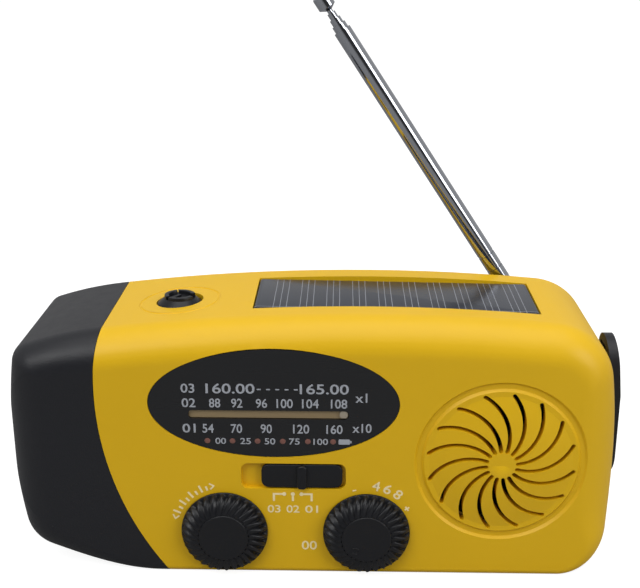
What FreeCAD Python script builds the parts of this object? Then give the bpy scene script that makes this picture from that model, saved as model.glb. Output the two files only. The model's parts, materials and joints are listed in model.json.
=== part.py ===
import FreeCAD, Part
import Sketcher
import math
import os
import re

# Solar and hand-crank portable radio with a torch head.
# Frame: millimetres, X to the right, Y to the back, Z up; the origin is the middle of the flat base.

Vector = FreeCAD.Vector
Rotation = FreeCAD.Rotation

doc = FreeCAD.newDocument("radio")
sheet = doc.addObject("Spreadsheet::Sheet", "Sizes")
nodes = []

DIMENSIONS = {
    # casing outline, seen from the front
    "case_width": 126.8,
    "case_depth": 43,
    "case_height": 56.46,
    "crown_radius": 450.29,
    "crown_x": 10.83,
    "end_radius": 124.62,
    "end_z": 23.7,
    "head_radius": 116.43,
    "head_z": 29.16,
    "corner_top": 13.26,
    "corner_bottom": 10.8,
    "shoulder_radius": 77.85,
    "shoulder_x": -44.6,
    "head_corner_top": 4,
    "head_corner_bottom": 8.13,
    "chin_radius": 78.72,
    "chin_x": -32,
    "seam_radius": 67,
    "seam_x": 22.8,
    "seam_z": 41.2,
    "seam_gap": 0.1,
    # casing section
    "wall": 2.2,
    "front_shell_depth": 33.5,
    "round_top": 7,
    "round_side": 7,
    "round_bottom": 1.5,
    "rear_round": 2.5,
    "nose_round_front": 8.93,
    "nose_round_rear": 14,
    "ledge_depth": 6,
    "ledge_z": 43.5,
    # fits
    "slide_gap": 0.1,
    "shaft_gap": 0.06,
    "part_gap": 0.2,
    # dial
    "window_x": -7.8,
    "window_z": 39.3,
    "window_width": 51,
    "window_height": 23.6,
    "window_thick": 1.2,
    "scale_width": 32.7,
    "scale_height": 1.9,
    "scale_z": 36.9,
    "scale_x": -8.85,
    "pointer_width": 2.2,
    "pointer_travel": 30.4,
    "strip_gap": 0.08,
    "strip_depth": 0.62,
    "tip_width": 1.6,
    "rail_radius": 0.8,
    "rail_z": 43.6,
    # knobs
    "knob_radius": 9.1,
    "knob_face_radius": 5.1,
    "knob_height": 3.3,
    "knob_z": 10.2,
    "tuning_x": -18.4,
    "volume_x": 11.4,
    "shaft_radius": 3,
    "ridge_count": 30,
    # band switch
    "switch_x": -3.85,
    "switch_z": 23.1,
    "switch_width": 21.7,
    "switch_height": 5.8,
    "switch_recess": 1.2,
    "slider_width": 16.8,
    "slider_height": 5.2,
    "slider_x": -2.1,
    "slider_corner": 1.5,
    # loudspeaker
    "speaker_x": 38.8,
    "speaker_z": 26.7,
    "grille_radius": 17.8,
    "grille_inner": 15.8,
    "slot_count": 16,
    "slot_start": 3.2,
    "slot_end": 15,
    "slot_width": 0.85,
    "slot_sweep": 31,
    "slot_phase": 6.5,
    "grille_dome": 1.5,
    "speaker_radius": 16.8,
    # solar panel and torch button
    "panel_x": 17.3,
    "panel_y": 0.2,
    "panel_width": 59.8,
    "panel_depth": 20.6,
    "panel_recess": 0.9,
    "panel_thick": 1.6,
    "panel_bed": 3,
    "button_x": -28.9,
    "button_y": -1.8,
    "button_radius": 4.85,
    "button_travel": 0.8,
    "button_ring": 8.5,
    # torch
    "torch_z": 24.5,
    "lens_radius": 15,
    "lens_thick": 1.8,
    # hand crank and gears
    "crank_y": 0,
    "crank_z": 21,
    "arm_width": 12,
    "arm_length": 26,
    "arm_clearance": 0.4,
    "arm_thick": 2.3,
    "crank_shaft_radius": 2.5,
    "gear_module": 0.5,
    "crank_teeth": 52,
    "pinion_teeth": 16,
    "idler_teeth": 40,
    "gear_width": 2,
    "idler_rise": 85,
    "rotor_fall": -55,
    "backlash": 0.14,
    "generator_radius": 7,
    "generator_length": 13,
    # antenna
    "antenna_x": 47.2,
    "antenna_y": 18.5,
    "antenna_z": 47,
    "antenna_lean": 33.6,
    "antenna_radius": 1.95,
    "antenna_step": 0.32,
    "antenna_start": 5.2,
    "antenna_end": 75.3,
    "antenna_stagger": 1.45,
    # inner parts
    "board_y": -5.4,
    "board_thick": 1.4,
    "battery_width": 48,
    "battery_height": 32,
    "battery_thick": 8,
    "battery_x": 0,
    "battery_z": 21,
    "door_width": 49,
    "door_height": 30,
    "screw_radius": 1.3,
}

for row, (name, value) in enumerate(DIMENSIONS.items(), 1):
    sheet.set("A%d" % row, name)
    sheet.set("B%d" % row, str(value))
    sheet.setAlias("B%d" % row, name)
doc.recompute()


def size(name):
    return float(sheet.get(name))


# ---- helpers -------------------------------------------------------------

def bind(item, prop, text):
    # every alias in the text becomes a reference to the sheet
    item.setExpression(prop, re.sub(r"[a-z][a-z_]+[a-z]", lambda m: "Sizes." + m.group(0)
                                    if m.group(0) in DIMENSIONS else m.group(0), str(text)))


def place(item, x, y, z, turn=None):
    if turn:
        item.Placement.Rotation = turn
    for axis, text in zip("xyz", (x, y, z)):
        bind(item, ".Placement.Base." + axis, text)
    return item


TURNS = {"x": Rotation(Vector(0, 1, 0), 90), "y": Rotation(Vector(1, 0, 0), -90), "z": Rotation()}


def box(name, length, depth, height, x, y, z):
    # a box about its own middle
    item = doc.addObject("Part::Box", name)
    bind(item, "Length", length)
    bind(item, "Width", depth)
    bind(item, "Height", height)
    return place(item, "%s - (%s) / 2" % (x, length), "%s - (%s) / 2" % (y, depth),
                 "%s - (%s) / 2" % (z, height))


def rod(name, radius, length, x, y, z, axis="z"):
    # a cylinder from its start point along one axis
    item = doc.addObject("Part::Cylinder", name)
    bind(item, "Radius", radius)
    bind(item, "Height", length)
    return place(item, x, y, z, TURNS[axis])


def cone(name, radius1, radius2, length, x, y, z, axis="z"):
    item = doc.addObject("Part::Cone", name)
    bind(item, "Radius1", radius1)
    bind(item, "Radius2", radius2)
    bind(item, "Height", length)
    return place(item, x, y, z, TURNS[axis])


def torus(name, radius, thick, x, y, z, lean=0):
    item = doc.addObject("Part::Torus", name)
    bind(item, "Radius1", radius)
    bind(item, "Radius2", thick)
    return place(item, x, y, z, Rotation(Vector(0, 1, 0), lean))


def fuse(name, *items):
    item = doc.addObject("Part::MultiFuse", name)
    item.Shapes = list(items)
    return item


def cut(name, base, *tools):
    item = doc.addObject("Part::Cut", name)
    item.Base = base
    item.Tool = tools[0] if len(tools) == 1 else fuse(name + "_cuts", *tools)
    return item


def common(name, *items):
    item = doc.addObject("Part::MultiCommon", name)
    item.Shapes = list(items)
    return item


def feature(name, shape):
    item = doc.addObject("Part::Feature", name)
    item.Shape = shape
    return item


def node(label, item):
    item.Label = label
    nodes.append(item)
    return item


def newBody(label):
    return node(label, doc.addObject("PartDesign::Body", label + "_body"))


def sketchOn(body, role, offset="0"):
    sketch = body.newObject("Sketcher::SketchObject", body.Name + "_sketch")
    plane = [f for f in body.Origin.OriginFeatures if f.Role == role][0]
    sketch.AttachmentSupport = (plane, [""])
    sketch.MapMode = "FlatFace"
    bind(sketch, ".AttachmentOffset.Base.z", offset)
    return sketch


def circle(sketch, x, y, radius):
    # a circle with its centre and radius bound to the sheet
    index = sketch.addGeometry(Part.Circle(Vector(1, 1, 0), Vector(0, 0, 1), 2), False)
    for kind, args, text in (("DistanceX", (-1, 1, index, 3), x), ("DistanceY", (-1, 1, index, 3), y),
                             ("Radius", (index,), radius)):
        row = sketch.addConstraint(Sketcher.Constraint(kind, *args, 2.0))
        bind(sketch, "Constraints[%d]" % row, text)
    return index


def pad(body, sketch, length, back=False, name="pad"):
    item = body.newObject("PartDesign::Pad", body.Name + "_" + name)
    item.Profile = sketch
    bind(item, "Length", length)
    item.Reversed = back
    return item


def pocket(body, sketch, length, back=False, name="pocket"):
    item = body.newObject("PartDesign::Pocket", body.Name + "_" + name)
    item.Profile = sketch
    bind(item, "Length", length)
    item.Reversed = back
    return item


def spun(label, points, x, y, z, axis):
    # a turned piece: its half section (radius, height) revolved in a PartDesign body
    body = newBody(label)
    sketch = sketchOn(body, "XZ_Plane")
    count = len(points)
    for i in range(count):
        (r1, h1), (r2, h2) = points[i], points[(i + 1) % count]
        sketch.addGeometry(Part.LineSegment(Vector(r1, h1, 0), Vector(r2, h2, 0)), False)
    turned = body.newObject("PartDesign::Revolution", body.Name + "_turned")
    turned.Profile = sketch
    turned.ReferenceAxis = (sketch, ["V_Axis"])
    turned.Angle = 360
    place(body, x, y, z, TURNS[axis] if axis != "-y" else Rotation(Vector(1, 0, 0), 90))
    return body


# ---- casing outline ------------------------------------------------------

half_width = size("case_width") / 2
front = -size("case_depth") / 2
back = size("case_depth") / 2
parting = front + size("front_shell_depth")
wall = size("wall")

FRONT = "(-case_depth / 2)"
BACK = "(case_depth / 2)"
PARTING = "(front_shell_depth - case_depth / 2)"

CROWN = (size("crown_x"), size("case_height") - size("crown_radius"), size("crown_radius"))
RIGHT = (half_width - size("end_radius"), size("end_z"), size("end_radius"))
LEFT = (size("head_radius") - half_width, size("head_z"), size("head_radius"))
CHIN = (size("chin_x"), size("chin_radius"), size("chin_radius"))
SEAM = (size("seam_x"), size("seam_z"), size("seam_radius"))


def crownHeight(x):
    return CROWN[1] + math.sqrt(CROWN[2] ** 2 - (x - CROWN[0]) ** 2)


def shoulderCircle():
    # tangent to the crown where the head begins to fall
    x = size("shoulder_x")
    z = crownHeight(x)
    share = size("shoulder_radius") / CROWN[2]
    return (x + (CROWN[0] - x) * share, z + (CROWN[1] - z) * share, size("shoulder_radius"))


SHOULDER = shoulderCircle()


def meet(a, b, near):
    # where two circles (x, z, radius) cross, the crossing nearest to a point
    dx, dz = b[0] - a[0], b[1] - a[1]
    gap = math.hypot(dx, dz)
    along = (a[2] ** 2 - b[2] ** 2 + gap ** 2) / (2 * gap)
    off = math.sqrt(a[2] ** 2 - along ** 2)
    found = [(a[0] + (dx * along + s * dz * off) / gap, a[1] + (dz * along - s * dx * off) / gap)
             for s in (1, -1)]
    return min(found, key=lambda p: math.hypot(p[0] - near[0], p[1] - near[1]))


def cornerCircle(a, b, radius, near):
    # the circle that rounds the corner between two outline circles, from inside
    x, z = meet((a[0], a[1], a[2] - radius), (b[0], b[1], b[2] - radius), near)
    return (x, z, radius)


def floorCorner(side, radius, sign):
    rise = radius - side[1]
    return (side[0] + sign * math.sqrt((side[2] - radius) ** 2 - rise ** 2), radius, radius)


TOP_RIGHT = cornerCircle(CROWN, RIGHT, size("corner_top"), (half_width, size("case_height")))
BOTTOM_RIGHT = floorCorner(RIGHT, size("corner_bottom"), 1)
TOP_LEFT = cornerCircle(SHOULDER, LEFT, size("head_corner_top"), (-half_width, size("case_height")))
BOTTOM_LEFT = cornerCircle(CHIN, LEFT, size("head_corner_bottom"), (-half_width, 0))


def inside(c, inset):
    return (c[0], c[1], c[2] - inset)


def touch(big, small):
    # where a corner circle meets the bigger circle that it lies in
    dx, dz = small[0] - big[0], small[1] - big[1]
    gap = math.hypot(dx, dz)
    return (big[0] + dx * big[2] / gap, big[1] + dz * big[2] / gap)


def arcEdge(c, p, q, y):
    a = math.atan2(p[1] - c[1], p[0] - c[0])
    b = math.atan2(q[1] - c[1], q[0] - c[0])
    if b - a > math.pi:
        a += 2 * math.pi
    if a - b > math.pi:
        b += 2 * math.pi
    middle = (a + b) / 2
    m = Vector(c[0] + c[2] * math.cos(middle), y, c[1] + c[2] * math.sin(middle))
    return Part.Arc(Vector(p[0], y, p[1]), m, Vector(q[0], y, q[1])).toShape()


def lineEdge(p, q, y):
    return Part.LineSegment(Vector(p[0], y, p[1]), Vector(q[0], y, q[1])).toShape()


def caseEdges(inset, y, gap):
    # the yellow case: crown, right end and base, closed by the seam arc
    crown, right = inside(CROWN, inset), inside(RIGHT, inset)
    top, bottom = inside(TOP_RIGHT, inset), inside(BOTTOM_RIGHT, inset)
    seam = (SEAM[0], SEAM[1], SEAM[2] - gap)
    a = meet(seam, crown, (size("shoulder_x"), size("case_height")))
    b = (seam[0] - math.sqrt(seam[2] ** 2 - (seam[1] - inset) ** 2), inset)
    t1, t2, t3 = touch(crown, top), touch(right, top), touch(right, bottom)
    t4 = (bottom[0], inset)
    return [arcEdge(crown, a, t1, y), arcEdge(top, t1, t2, y), arcEdge(right, t2, t3, y),
            arcEdge(bottom, t3, t4, y), lineEdge(t4, b, y), arcEdge(seam, b, a, y)]


def headEdges(inset, y, gap):
    # the torch head: shoulder, left end and rising chin, closed by the seam arc
    crown, shoulder, left = inside(CROWN, inset), inside(SHOULDER, inset), inside(LEFT, inset)
    chin = inside(CHIN, inset)
    top, bottom = inside(TOP_LEFT, inset), inside(BOTTOM_LEFT, inset)
    seam = (SEAM[0], SEAM[1], SEAM[2] + gap)
    a = meet(seam, crown, (size("shoulder_x"), size("case_height")))
    s = touch(crown, shoulder)
    t1, t2, t3 = touch(shoulder, top), touch(left, top), touch(left, bottom)
    t4, t5 = touch(chin, bottom), (chin[0], inset)
    b = (seam[0] - math.sqrt(seam[2] ** 2 - (seam[1] - inset) ** 2), inset)
    return [arcEdge(crown, a, s, y), arcEdge(shoulder, s, t1, y), arcEdge(top, t1, t2, y),
            arcEdge(left, t2, t3, y), arcEdge(bottom, t3, t4, y), arcEdge(chin, t4, t5, y),
            lineEdge(t5, b, y), arcEdge(seam, b, a, y)]


def prism(edges, length):
    return Part.Face(Part.Wire(edges)).extrude(Vector(0, length, 0))


def roundedBlank(name, edges, length, y_end, radii):
    # a prism whose outline edges at one end are rounded, each with its own radii
    base = feature(name + "_prism", prism(edges, length))
    rows = []
    for guide, (r1, r2) in zip(edges, radii):
        end = guide.copy()
        end.translate(Vector(0, y_end - end.BoundBox.YMin, 0))
        for i, edge in enumerate(base.Shape.Edges, 1):
            if (edge.CenterOfMass - end.CenterOfMass).Length < 0.01:
                rows.append((i, r1, r2))
    item = doc.addObject("Part::Fillet", name + "_rounded")
    item.Base = base
    item.Edges = rows
    return item


TOP, SIDE, LOW = size("round_top"), size("round_side"), size("round_bottom")
REAR = size("rear_round")


# ---- casing --------------------------------------------------------------

def ellipseTool(name, grow, y, depth):
    # an elliptical prism about the dial window
    a = size("window_width") / 2 + grow
    b = size("window_height") / 2 + grow
    curve = Part.Ellipse(Vector(0, 0, 0), a, b).toShape()
    solid = Part.Face(Part.Wire([curve])).extrude(Vector(0, 0, depth))
    solid.rotate(Vector(0, 0, 0), Vector(1, 0, 0), -90)
    solid.translate(Vector(size("window_x"), y, size("window_z")))
    return feature(name, solid)


def grilleSlots():
    # one curved slot, copied round the centre
    r1, r2 = size("slot_start"), size("slot_end")
    sweep, half = math.radians(size("slot_sweep")), size("slot_width") / 2
    middle = (r1 + r2) / 2
    points = [Vector(r * math.cos(a), 0, r * math.sin(a))
              for r, a in ((r1, 0), (middle, sweep * 0.36), (r2, sweep))]
    path = Part.Arc(*points).toShape().Curve
    centre = path.Center
    inner, outer = path.Radius - half, path.Radius + half
    angles = [math.atan2(p.z - centre.z, p.x - centre.x) for p in points]

    def at(radius, angle):
        return Vector(centre.x + radius * math.cos(angle), 0, centre.z + radius * math.sin(angle))

    near = [at(inner, a) for a in angles]
    far = [at(outer, a) for a in angles]
    ends = [Part.Arc(near[2], points[2] + (points[2] - points[1]).normalize() * half, far[2]),
            Part.Arc(far[0], points[0] - (points[1] - points[0]).normalize() * half, near[0])]
    wire = Part.Wire([Part.Arc(*near).toShape(), ends[0].toShape(),
                      Part.Arc(far[2], far[1], far[0]).toShape(), ends[1].toShape()])
    slot = Part.Face(wire).extrude(Vector(0, 3 * wall, 0))
    slots = []
    for i in range(int(size("slot_count"))):
        one = slot.copy()
        turn = size("slot_phase") + 360 * i / size("slot_count")
        one.rotate(Vector(0, 0, 0), Vector(0, -1, 0), turn)
        one.translate(Vector(size("speaker_x"), front - wall, size("speaker_z")))
        slots.append(one)
    return feature("grille_slots", Part.makeCompound(slots))


def grilleDome(name):
    # the grille's shallow dome, turned from an arc
    base, rise, deep = size("grille_inner") - 1.1, size("grille_dome"), 0.4 * wall
    ball = (base ** 2 + rise ** 2) / (2 * rise)
    half = math.asin(base / ball) / 2
    middle = Vector(ball * math.sin(half), ball - rise - ball * math.cos(half), 0)
    profile = [Part.Arc(Vector(0, -rise, 0), middle, Vector(base, 0, 0)).toShape(),
               Part.makeLine(Vector(base, 0, 0), Vector(base, deep, 0)),
               Part.makeLine(Vector(base, deep, 0), Vector(0, deep, 0)),
               Part.makeLine(Vector(0, deep, 0), Vector(0, -rise, 0))]
    solid = Part.Face(Part.Wire(profile)).revolve(Vector(0, 0, 0), Vector(0, 1, 0), 360)
    solid.translate(Vector(size("speaker_x"), front, size("speaker_z")))
    return feature(name, solid)


def panelBlock(name, length, depth, bottom, top):
    # a box laid along the crown over the solar panel; heights are from the crown
    lean = math.asin((size("panel_x") - CROWN[0]) / CROWN[2])
    solid = Part.makeBox(length, depth, top - bottom, Vector(-length / 2, -depth / 2, bottom))
    solid.rotate(Vector(0, 0, 0), Vector(0, 1, 0), math.degrees(lean))
    solid.translate(Vector(size("panel_x"), size("panel_y"), crownHeight(size("panel_x"))))
    return feature(name, solid)


def roundedPlate(name, width, height, radius, x, z, y, depth):
    # a plate seen from the front, with round corners
    a, b, k = width / 2, height / 2, radius * (1 - math.sqrt(0.5))
    edges = []
    for sx, sz in ((1, 1), (-1, 1), (-1, -1), (1, -1)):
        ends = [Vector(sx * a, 0, sz * (b - radius)), Vector(sx * (a - radius), 0, sz * b)]
        if sx * sz < 0:
            ends.reverse()
        middle = Vector(sx * (a - k), 0, sz * (b - k))
        edges.append((ends[0], middle, ends[1]))
    loop = []
    for i, (start, middle, end) in enumerate(edges):
        loop.append(Part.Arc(start, middle, end).toShape())
        loop.append(Part.LineSegment(end, edges[(i + 1) % 4][0]).toShape())
    solid = Part.Face(Part.Wire(loop)).extrude(Vector(0, depth, 0))
    solid.translate(Vector(x, y, z))
    return feature(name, solid)


def screwPosts():
    # (x, z) of the case screws, near the corners of the yellow case
    low = wall + size("screw_radius") + 2.6
    high = size("ledge_z") - wall - 3.3
    return [(size("seam_x") - size("seam_radius") + 14.4, low), (half_width - wall - 6.4, low),
            (size("speaker_x") - size("speaker_radius") + 0.5, high),
            (size("seam_x") - size("seam_radius") + 7.1, high)]


def ledgeCut(name, grow=0.0):
    # the open ledge along the top rear, where the folded antenna lies
    solid = Part.makeBox(4 * half_width, size("ledge_depth") + wall + grow, size("case_height"),
                         Vector(-2 * half_width, back - size("ledge_depth") - grow,
                                size("ledge_z") - grow))
    return feature(name, solid)


def frontShell():
    length = size("front_shell_depth")
    outer = roundedBlank("front_outer", caseEdges(0, front, 0), length, front,
                         [(TOP, TOP), (TOP, SIDE + 0.5), (SIDE + 0.5, SIDE - 0.5),
                          (SIDE - 0.5, LOW), (LOW, LOW)])
    cavity = roundedBlank("front_cavity", caseEdges(wall, front + wall, -3 * wall), length, front + wall,
                          [(TOP - wall, TOP - wall), (TOP - wall, SIDE - wall), (SIDE - wall, SIDE - wall),
                           (SIDE - wall, 0.4), (0.4, 0.4)])
    bed_top = -size("panel_recess") - size("panel_thick") - size("part_gap") / 2
    bed = panelBlock("panel_bed", size("panel_width") + 2 * wall, size("panel_depth") + 2 * wall,
                     bed_top - size("panel_bed"), -wall / 2)
    shell = cut("front_hollow", outer, cavity)
    bed_in = common("panel_bed_in", bed, outer)
    body = fuse("front_solid", shell, bed_in, grilleDome("grille_dome"))
    posts = [rod("rail_post_%d" % i, 2, "3.6 + wall", x, FRONT + " + wall / 2", "rail_z", "y")
             for i, x in enumerate(("window_x - 25.5", "window_x + 25.5"))]
    screws = [rod("boss_%d" % i, "screw_radius + 1.25", "front_shell_depth - wall / 2", x,
                  FRONT + " + wall / 2", z, "y") for i, (x, z) in enumerate(screwPosts())]
    bosses = common("front_bosses", fuse("front_boss_rods", *screws), outer)
    pilots = [rod("pilot_%d" % i, "screw_radius - 0.25", "14", x, PARTING + " - 13.9", z, "y")
              for i, (x, z) in enumerate(screwPosts())]
    full = fuse("front_full", body, *posts, bosses)
    tools = [
        ellipseTool("window_recess", 0.12, front - 1, size("window_thick") + 1.05),
        box("scale_opening", "scale_width + 5", "3 * wall", "scale_height + 3.4", "scale_x",
            FRONT, "scale_z + 0.4"),
        roundedPlate("switch_recess_cut", size("switch_width"), size("switch_height"), size("slider_corner"),
                     size("switch_x"), size("switch_z"), front - 1, 1 + size("switch_recess")),
        box("switch_slot", "11", "3 * wall", "2.2", "slider_x - 1.8", FRONT, "switch_z"),
        rod("tuning_hole", "shaft_radius + 0.25", "3 * wall", "tuning_x", FRONT + " - wall", "knob_z", "y"),
        rod("volume_hole", "shaft_radius + 0.25", "3 * wall", "volume_x", FRONT + " - wall", "knob_z", "y"),
        cut("grille_ring", cone("ring_out", "grille_radius + 0.5", "grille_radius - 0.5", "1", "speaker_x",
                                FRONT + " - 0.5", "speaker_z", "y"),
            cone("ring_in", "grille_inner - 0.7", "grille_inner + 0.7", "1.4", "speaker_x",
                 FRONT + " - 0.7", "speaker_z", "y")),
        grilleSlots(),
        panelBlock("panel_pocket", size("panel_width"), size("panel_depth"), bed_top, 2 * wall),
        torus("button_ring_groove", "button_ring", "0.35", "button_x", "button_y",
              str(crownHeight(size("button_x")) + 0.08),
              math.degrees(math.asin((size("button_x") - CROWN[0]) / CROWN[2]))),
        box("panel_wire_hole", "6", "4", "20", "panel_x", "panel_y", "case_height"),
        rod("button_hole", "button_radius + 0.2", "12", "button_x", "button_y", "case_height - 9"),
        rod("crank_bush_hole", "crank_shaft_radius + shaft_gap", "12", "case_width / 2 - 8",
            "crank_y", "crank_z", "x"),
        rod("rail_seat", "rail_radius + 0.02", "2 * 25.5 - 3 + 2 * 2", "window_x - 25.5 + 1.5 - 2",
            FRONT + " + 2.9 + wall", "rail_z", "x"),
    ] + pilots
    return node("front_shell", cut("front_shell_cut", full, *tools))


def rearShell():
    length = back - parting
    outer = roundedBlank("rear_outer", caseEdges(0, parting, 0), length, back, [(REAR, REAR)] * 5)
    cavity = feature("rear_cavity", prism(caseEdges(wall, parting - 1, -3 * wall), length - wall + 1))
    keep = ledgeCut("ledge_lining", wall)
    hollow = cut("rear_hollow", outer, cut("rear_cavity_low", cavity, keep))
    screws = [rod("rear_boss_%d" % i, "screw_radius + 1.25", "case_depth - front_shell_depth - 0.5", x,
                  PARTING + " + 0.05", z, "y") for i, (x, z) in enumerate(screwPosts())]
    cups = [rod("rear_cup_%d" % i, "screw_radius * 2 + 0.8", "wall + 1.6", x, BACK + " - wall - 2", z, "y")
            for i, (x, z) in enumerate(screwPosts())]
    bosses = common("rear_bosses", fuse("rear_boss_rods", *screws, *cups), outer)
    tools = [ledgeCut("ledge_open")]
    for i, (x, z) in enumerate(screwPosts()):
        tools.append(rod("screw_way_%d" % i, "screw_radius + 0.05", "case_depth", x, PARTING + " - 1",
                         z, "y"))
        tools.append(rod("screw_sink_%d" % i, "screw_radius * 2 + 0.1", "6", x, BACK + " - 3", z, "y"))
    tools += [
        box("door_opening", "door_width - 4", "4 * wall", "door_height - 4", "battery_x", BACK, "battery_z"),
        box("door_recess", "door_width + 2 * part_gap", "2.8", "door_height + 2 * part_gap", "battery_x",
            BACK + " + 0.1", "battery_z"),
        rod("antenna_pin_hole", "1.5 + shaft_gap", "3 * wall", "antenna_x", BACK + " - ledge_depth - 2 * wall",
            "antenna_z", "y"),
        box("port_recess", "26", "3", "10", "38.8", BACK + " + 0.3", "12.5"),
        box("usb_out_hole", "13.4", "4 * wall", "5.8", "34.4", BACK, "12.5"),
        box("usb_in_hole", "8", "4 * wall", "3.2", "46", BACK, "12.5"),
    ]
    return node("rear_shell", cut("rear_shell_cut", fuse("rear_full", hollow, bosses), *tools))


def nosePlan(inset, y0, y1):
    # plan outline of the head, whose left corners are rounded off
    x = -half_width + inset - 0.3
    f, r = size("nose_round_front") - inset, size("nose_round_rear") - inset
    y0, y1 = y0 + inset, y1 - inset
    k = 1 - math.sqrt(0.5)
    p = [Vector(0, y0, -10), Vector(x + f, y0, -10), Vector(x + f * k, y0 + f * k, -10),
         Vector(x, y0 + f, -10), Vector(x, y1 - r, -10), Vector(x + r * k, y1 - r * k, -10),
         Vector(x + r, y1, -10), Vector(0, y1, -10)]
    edges = [Part.LineSegment(p[0], p[1]), Part.Arc(p[1], p[2], p[3]), Part.LineSegment(p[3], p[4]),
             Part.Arc(p[4], p[5], p[6]), Part.LineSegment(p[6], p[7]), Part.LineSegment(p[7], p[0])]
    face = Part.Face(Part.Wire([e.toShape() for e in edges]))
    return face.extrude(Vector(0, 0, 2 * size("case_height")))


def torchHead():
    gap = size("seam_gap")
    outer_round = roundedBlank("head_outer", headEdges(0, front, gap), back - front, front,
                               [(TOP, TOP), (TOP, TOP - 0.5), (TOP - 0.5, SIDE), (SIDE, SIDE),
                                (SIDE, SIDE - 0.5), (SIDE - 0.5, LOW), (LOW, LOW)])
    outer = common("head_blank", outer_round, feature("head_plan", nosePlan(0, front, back)))
    cavity = feature("head_cavity", prism(headEdges(wall, front + wall, -3 * wall),
                                          back - front - 2 * wall))
    cavity_plan = common("head_cavity_plan", cavity, feature("head_plan_in", nosePlan(wall, front, back)))
    keep = ledgeCut("head_ledge_lining", wall)
    hollow = cut("head_hollow", outer, cut("head_cavity_low", cavity_plan, keep))
    seat = rod("lens_seat", "lens_radius + 2", "7", "wall / 2 - case_width / 2", "0", "torch_z", "x")
    body = fuse("head_full", hollow, common("lens_seat_in", seat, outer))
    tools = [
        ledgeCut("head_ledge_open"),
        rod("torch_opening", "lens_radius - 1.4", "30", "-case_width / 2 - 5", "0", "torch_z", "x"),
        rod("lens_pocket", "lens_radius + 0.05", "30", "1.9 - case_width / 2", "0", "torch_z", "x"),
    ]
    return node("torch_head", cut("torch_head_cut", body, *tools))


# ---- dial ----------------------------------------------------------------

def dialWindow():
    plate = ellipseTool("window_plate", 0, front + 0.1, size("window_thick") - 0.15)
    height = size("scale_height")
    slot = roundedPlate("window_slot", size("scale_width"), height, height / 2 - 0.02, size("scale_x"),
                        size("scale_z"), front - 3, 6)
    return node("dial_window", cut("dial_window_cut", plate, slot))


def dialScale():
    strip = box("scale_strip", "scale_width + 6.4", "0.8", "6", "scale_x", FRONT + " + wall + 1.5", "scale_z + 0.5")
    ends = [box("scale_end_%d" % i, "1.6", "1.7", "6", "scale_x " + side + " (scale_width / 2 + 3.9)",
                FRONT + " + wall + 0.9", "scale_z + 0.5") for i, side in enumerate("-+")]
    # the strip's raised middle stands forward into the window's slot
    gap = size("strip_gap")
    ridge = roundedPlate("scale_ridge", size("scale_width") - gap, size("scale_height") - 4 * gap,
                         size("scale_height") / 2 - 3 * gap, size("scale_x"), size("scale_z") - 1.2 * gap,
                         front + size("strip_depth"), wall + 1.5 - size("strip_depth"))
    return node("dial_scale", fuse("dial_scale_fused", strip, ridge, *ends))


def dialPointer():
    rest = "scale_x + scale_width / 2 - pointer_width / 2"
    # the blade hangs behind the shell and hooks forward over the strip to a tip in the slot
    hook = size("scale_z") + size("scale_height") / 2 - 0.2
    blade = box("pointer_blade", "pointer_width", "0.5", "rail_z + 0.6 - %s" % hook, rest,
                FRONT + " + wall + 0.6", "(rail_z + 0.6 + %s) / 2" % hook)
    end = size("scale_x") + size("scale_width") / 2
    arm = box("pointer_arm", "tip_width - 0.75", "wall + 0.45", "0.14", "%s - 1.175" % end,
              FRONT + " + (wall + 0.45) / 2 + 0.3", "%s + 0.09" % hook)
    tip = roundedPlate("pointer_tip", size("tip_width"), 1.5, 0.55, end - 0.25 - size("tip_width") / 2,
                       hook + 0.09 - 0.75, front + 0.22, 0.32)
    hub = rod("pointer_hub", "1.7", "5", rest + " - 2.5", FRONT + " + wall + 2.9", "rail_z", "x")
    bridge = box("pointer_bridge", "pointer_width", "2.6", "1.6", rest, FRONT + " + wall + 1.65", "rail_z")
    hole = rod("pointer_bore", "rail_radius + shaft_gap", "20", rest + " - 10", FRONT + " + wall + 2.9",
               "rail_z", "x")
    return node("dial_pointer", cut("dial_pointer_cut", fuse("pointer_body", blade, hub, bridge, arm, tip), hole))


def dialRail():
    return node("pointer_rail", rod("pointer_rail_rod", "rail_radius", "2 * 25.5 - 3 + 3.9",
                                    "window_x - 25.5 + 1.5 - 1.95", FRONT + " + wall + 2.9", "rail_z", "x"))


def indicatorLeds():
    lamps = []
    for i in range(6):
        x = "window_x - 13.3 + %s" % (5.15 * i)
        lamps.append(rod("indicator_%d" % i, "0.8", "board_y - board_thick / 2 + case_depth / 2 - wall - 0.3",
                         x, FRONT + " + wall + 0.3", "31", "y"))
    return node("indicator_leds", fuse("indicator_leds_group", *lamps))


# ---- knobs ---------------------------------------------------------------

def knob(label, x):
    # a domed knob with fine slanted ridges round its side
    radius, face, height = size("knob_radius"), size("knob_face_radius"), size("knob_height")
    gap = size("part_gap")
    outer = []
    steps = 6
    for i in range(steps + 1):
        angle = math.pi / 2 * i / steps
        outer.append((face + (radius - face) * math.cos(angle),
                      0.9 + (height - 0.9) * math.sin(angle)))
    points = [(size("shaft_radius"), gap), (radius, gap)] + outer + [(face - 0.4, height - 0.25)]
    points += [(0, height - 0.25), (0, height - 1), (size("shaft_radius"), height - 1)]
    body = spun(label, points, x, FRONT, "knob_z", "-y")
    sketch = sketchOn(body, "XY_Plane", "part_gap")
    circle(sketch, "knob_radius + 0.35", "0", "0.75")
    notch = pocket(body, sketch, "2", True, "notch")
    pattern = body.newObject("PartDesign::PolarPattern", body.Name + "_ridges")
    pattern.Originals = [notch]
    pattern.Axis = (sketch, ["N_Axis"])
    pattern.Angle = 360
    bind(pattern, "Occurrences", "ridge_count")
    body.Tip = pattern
    return body


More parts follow.
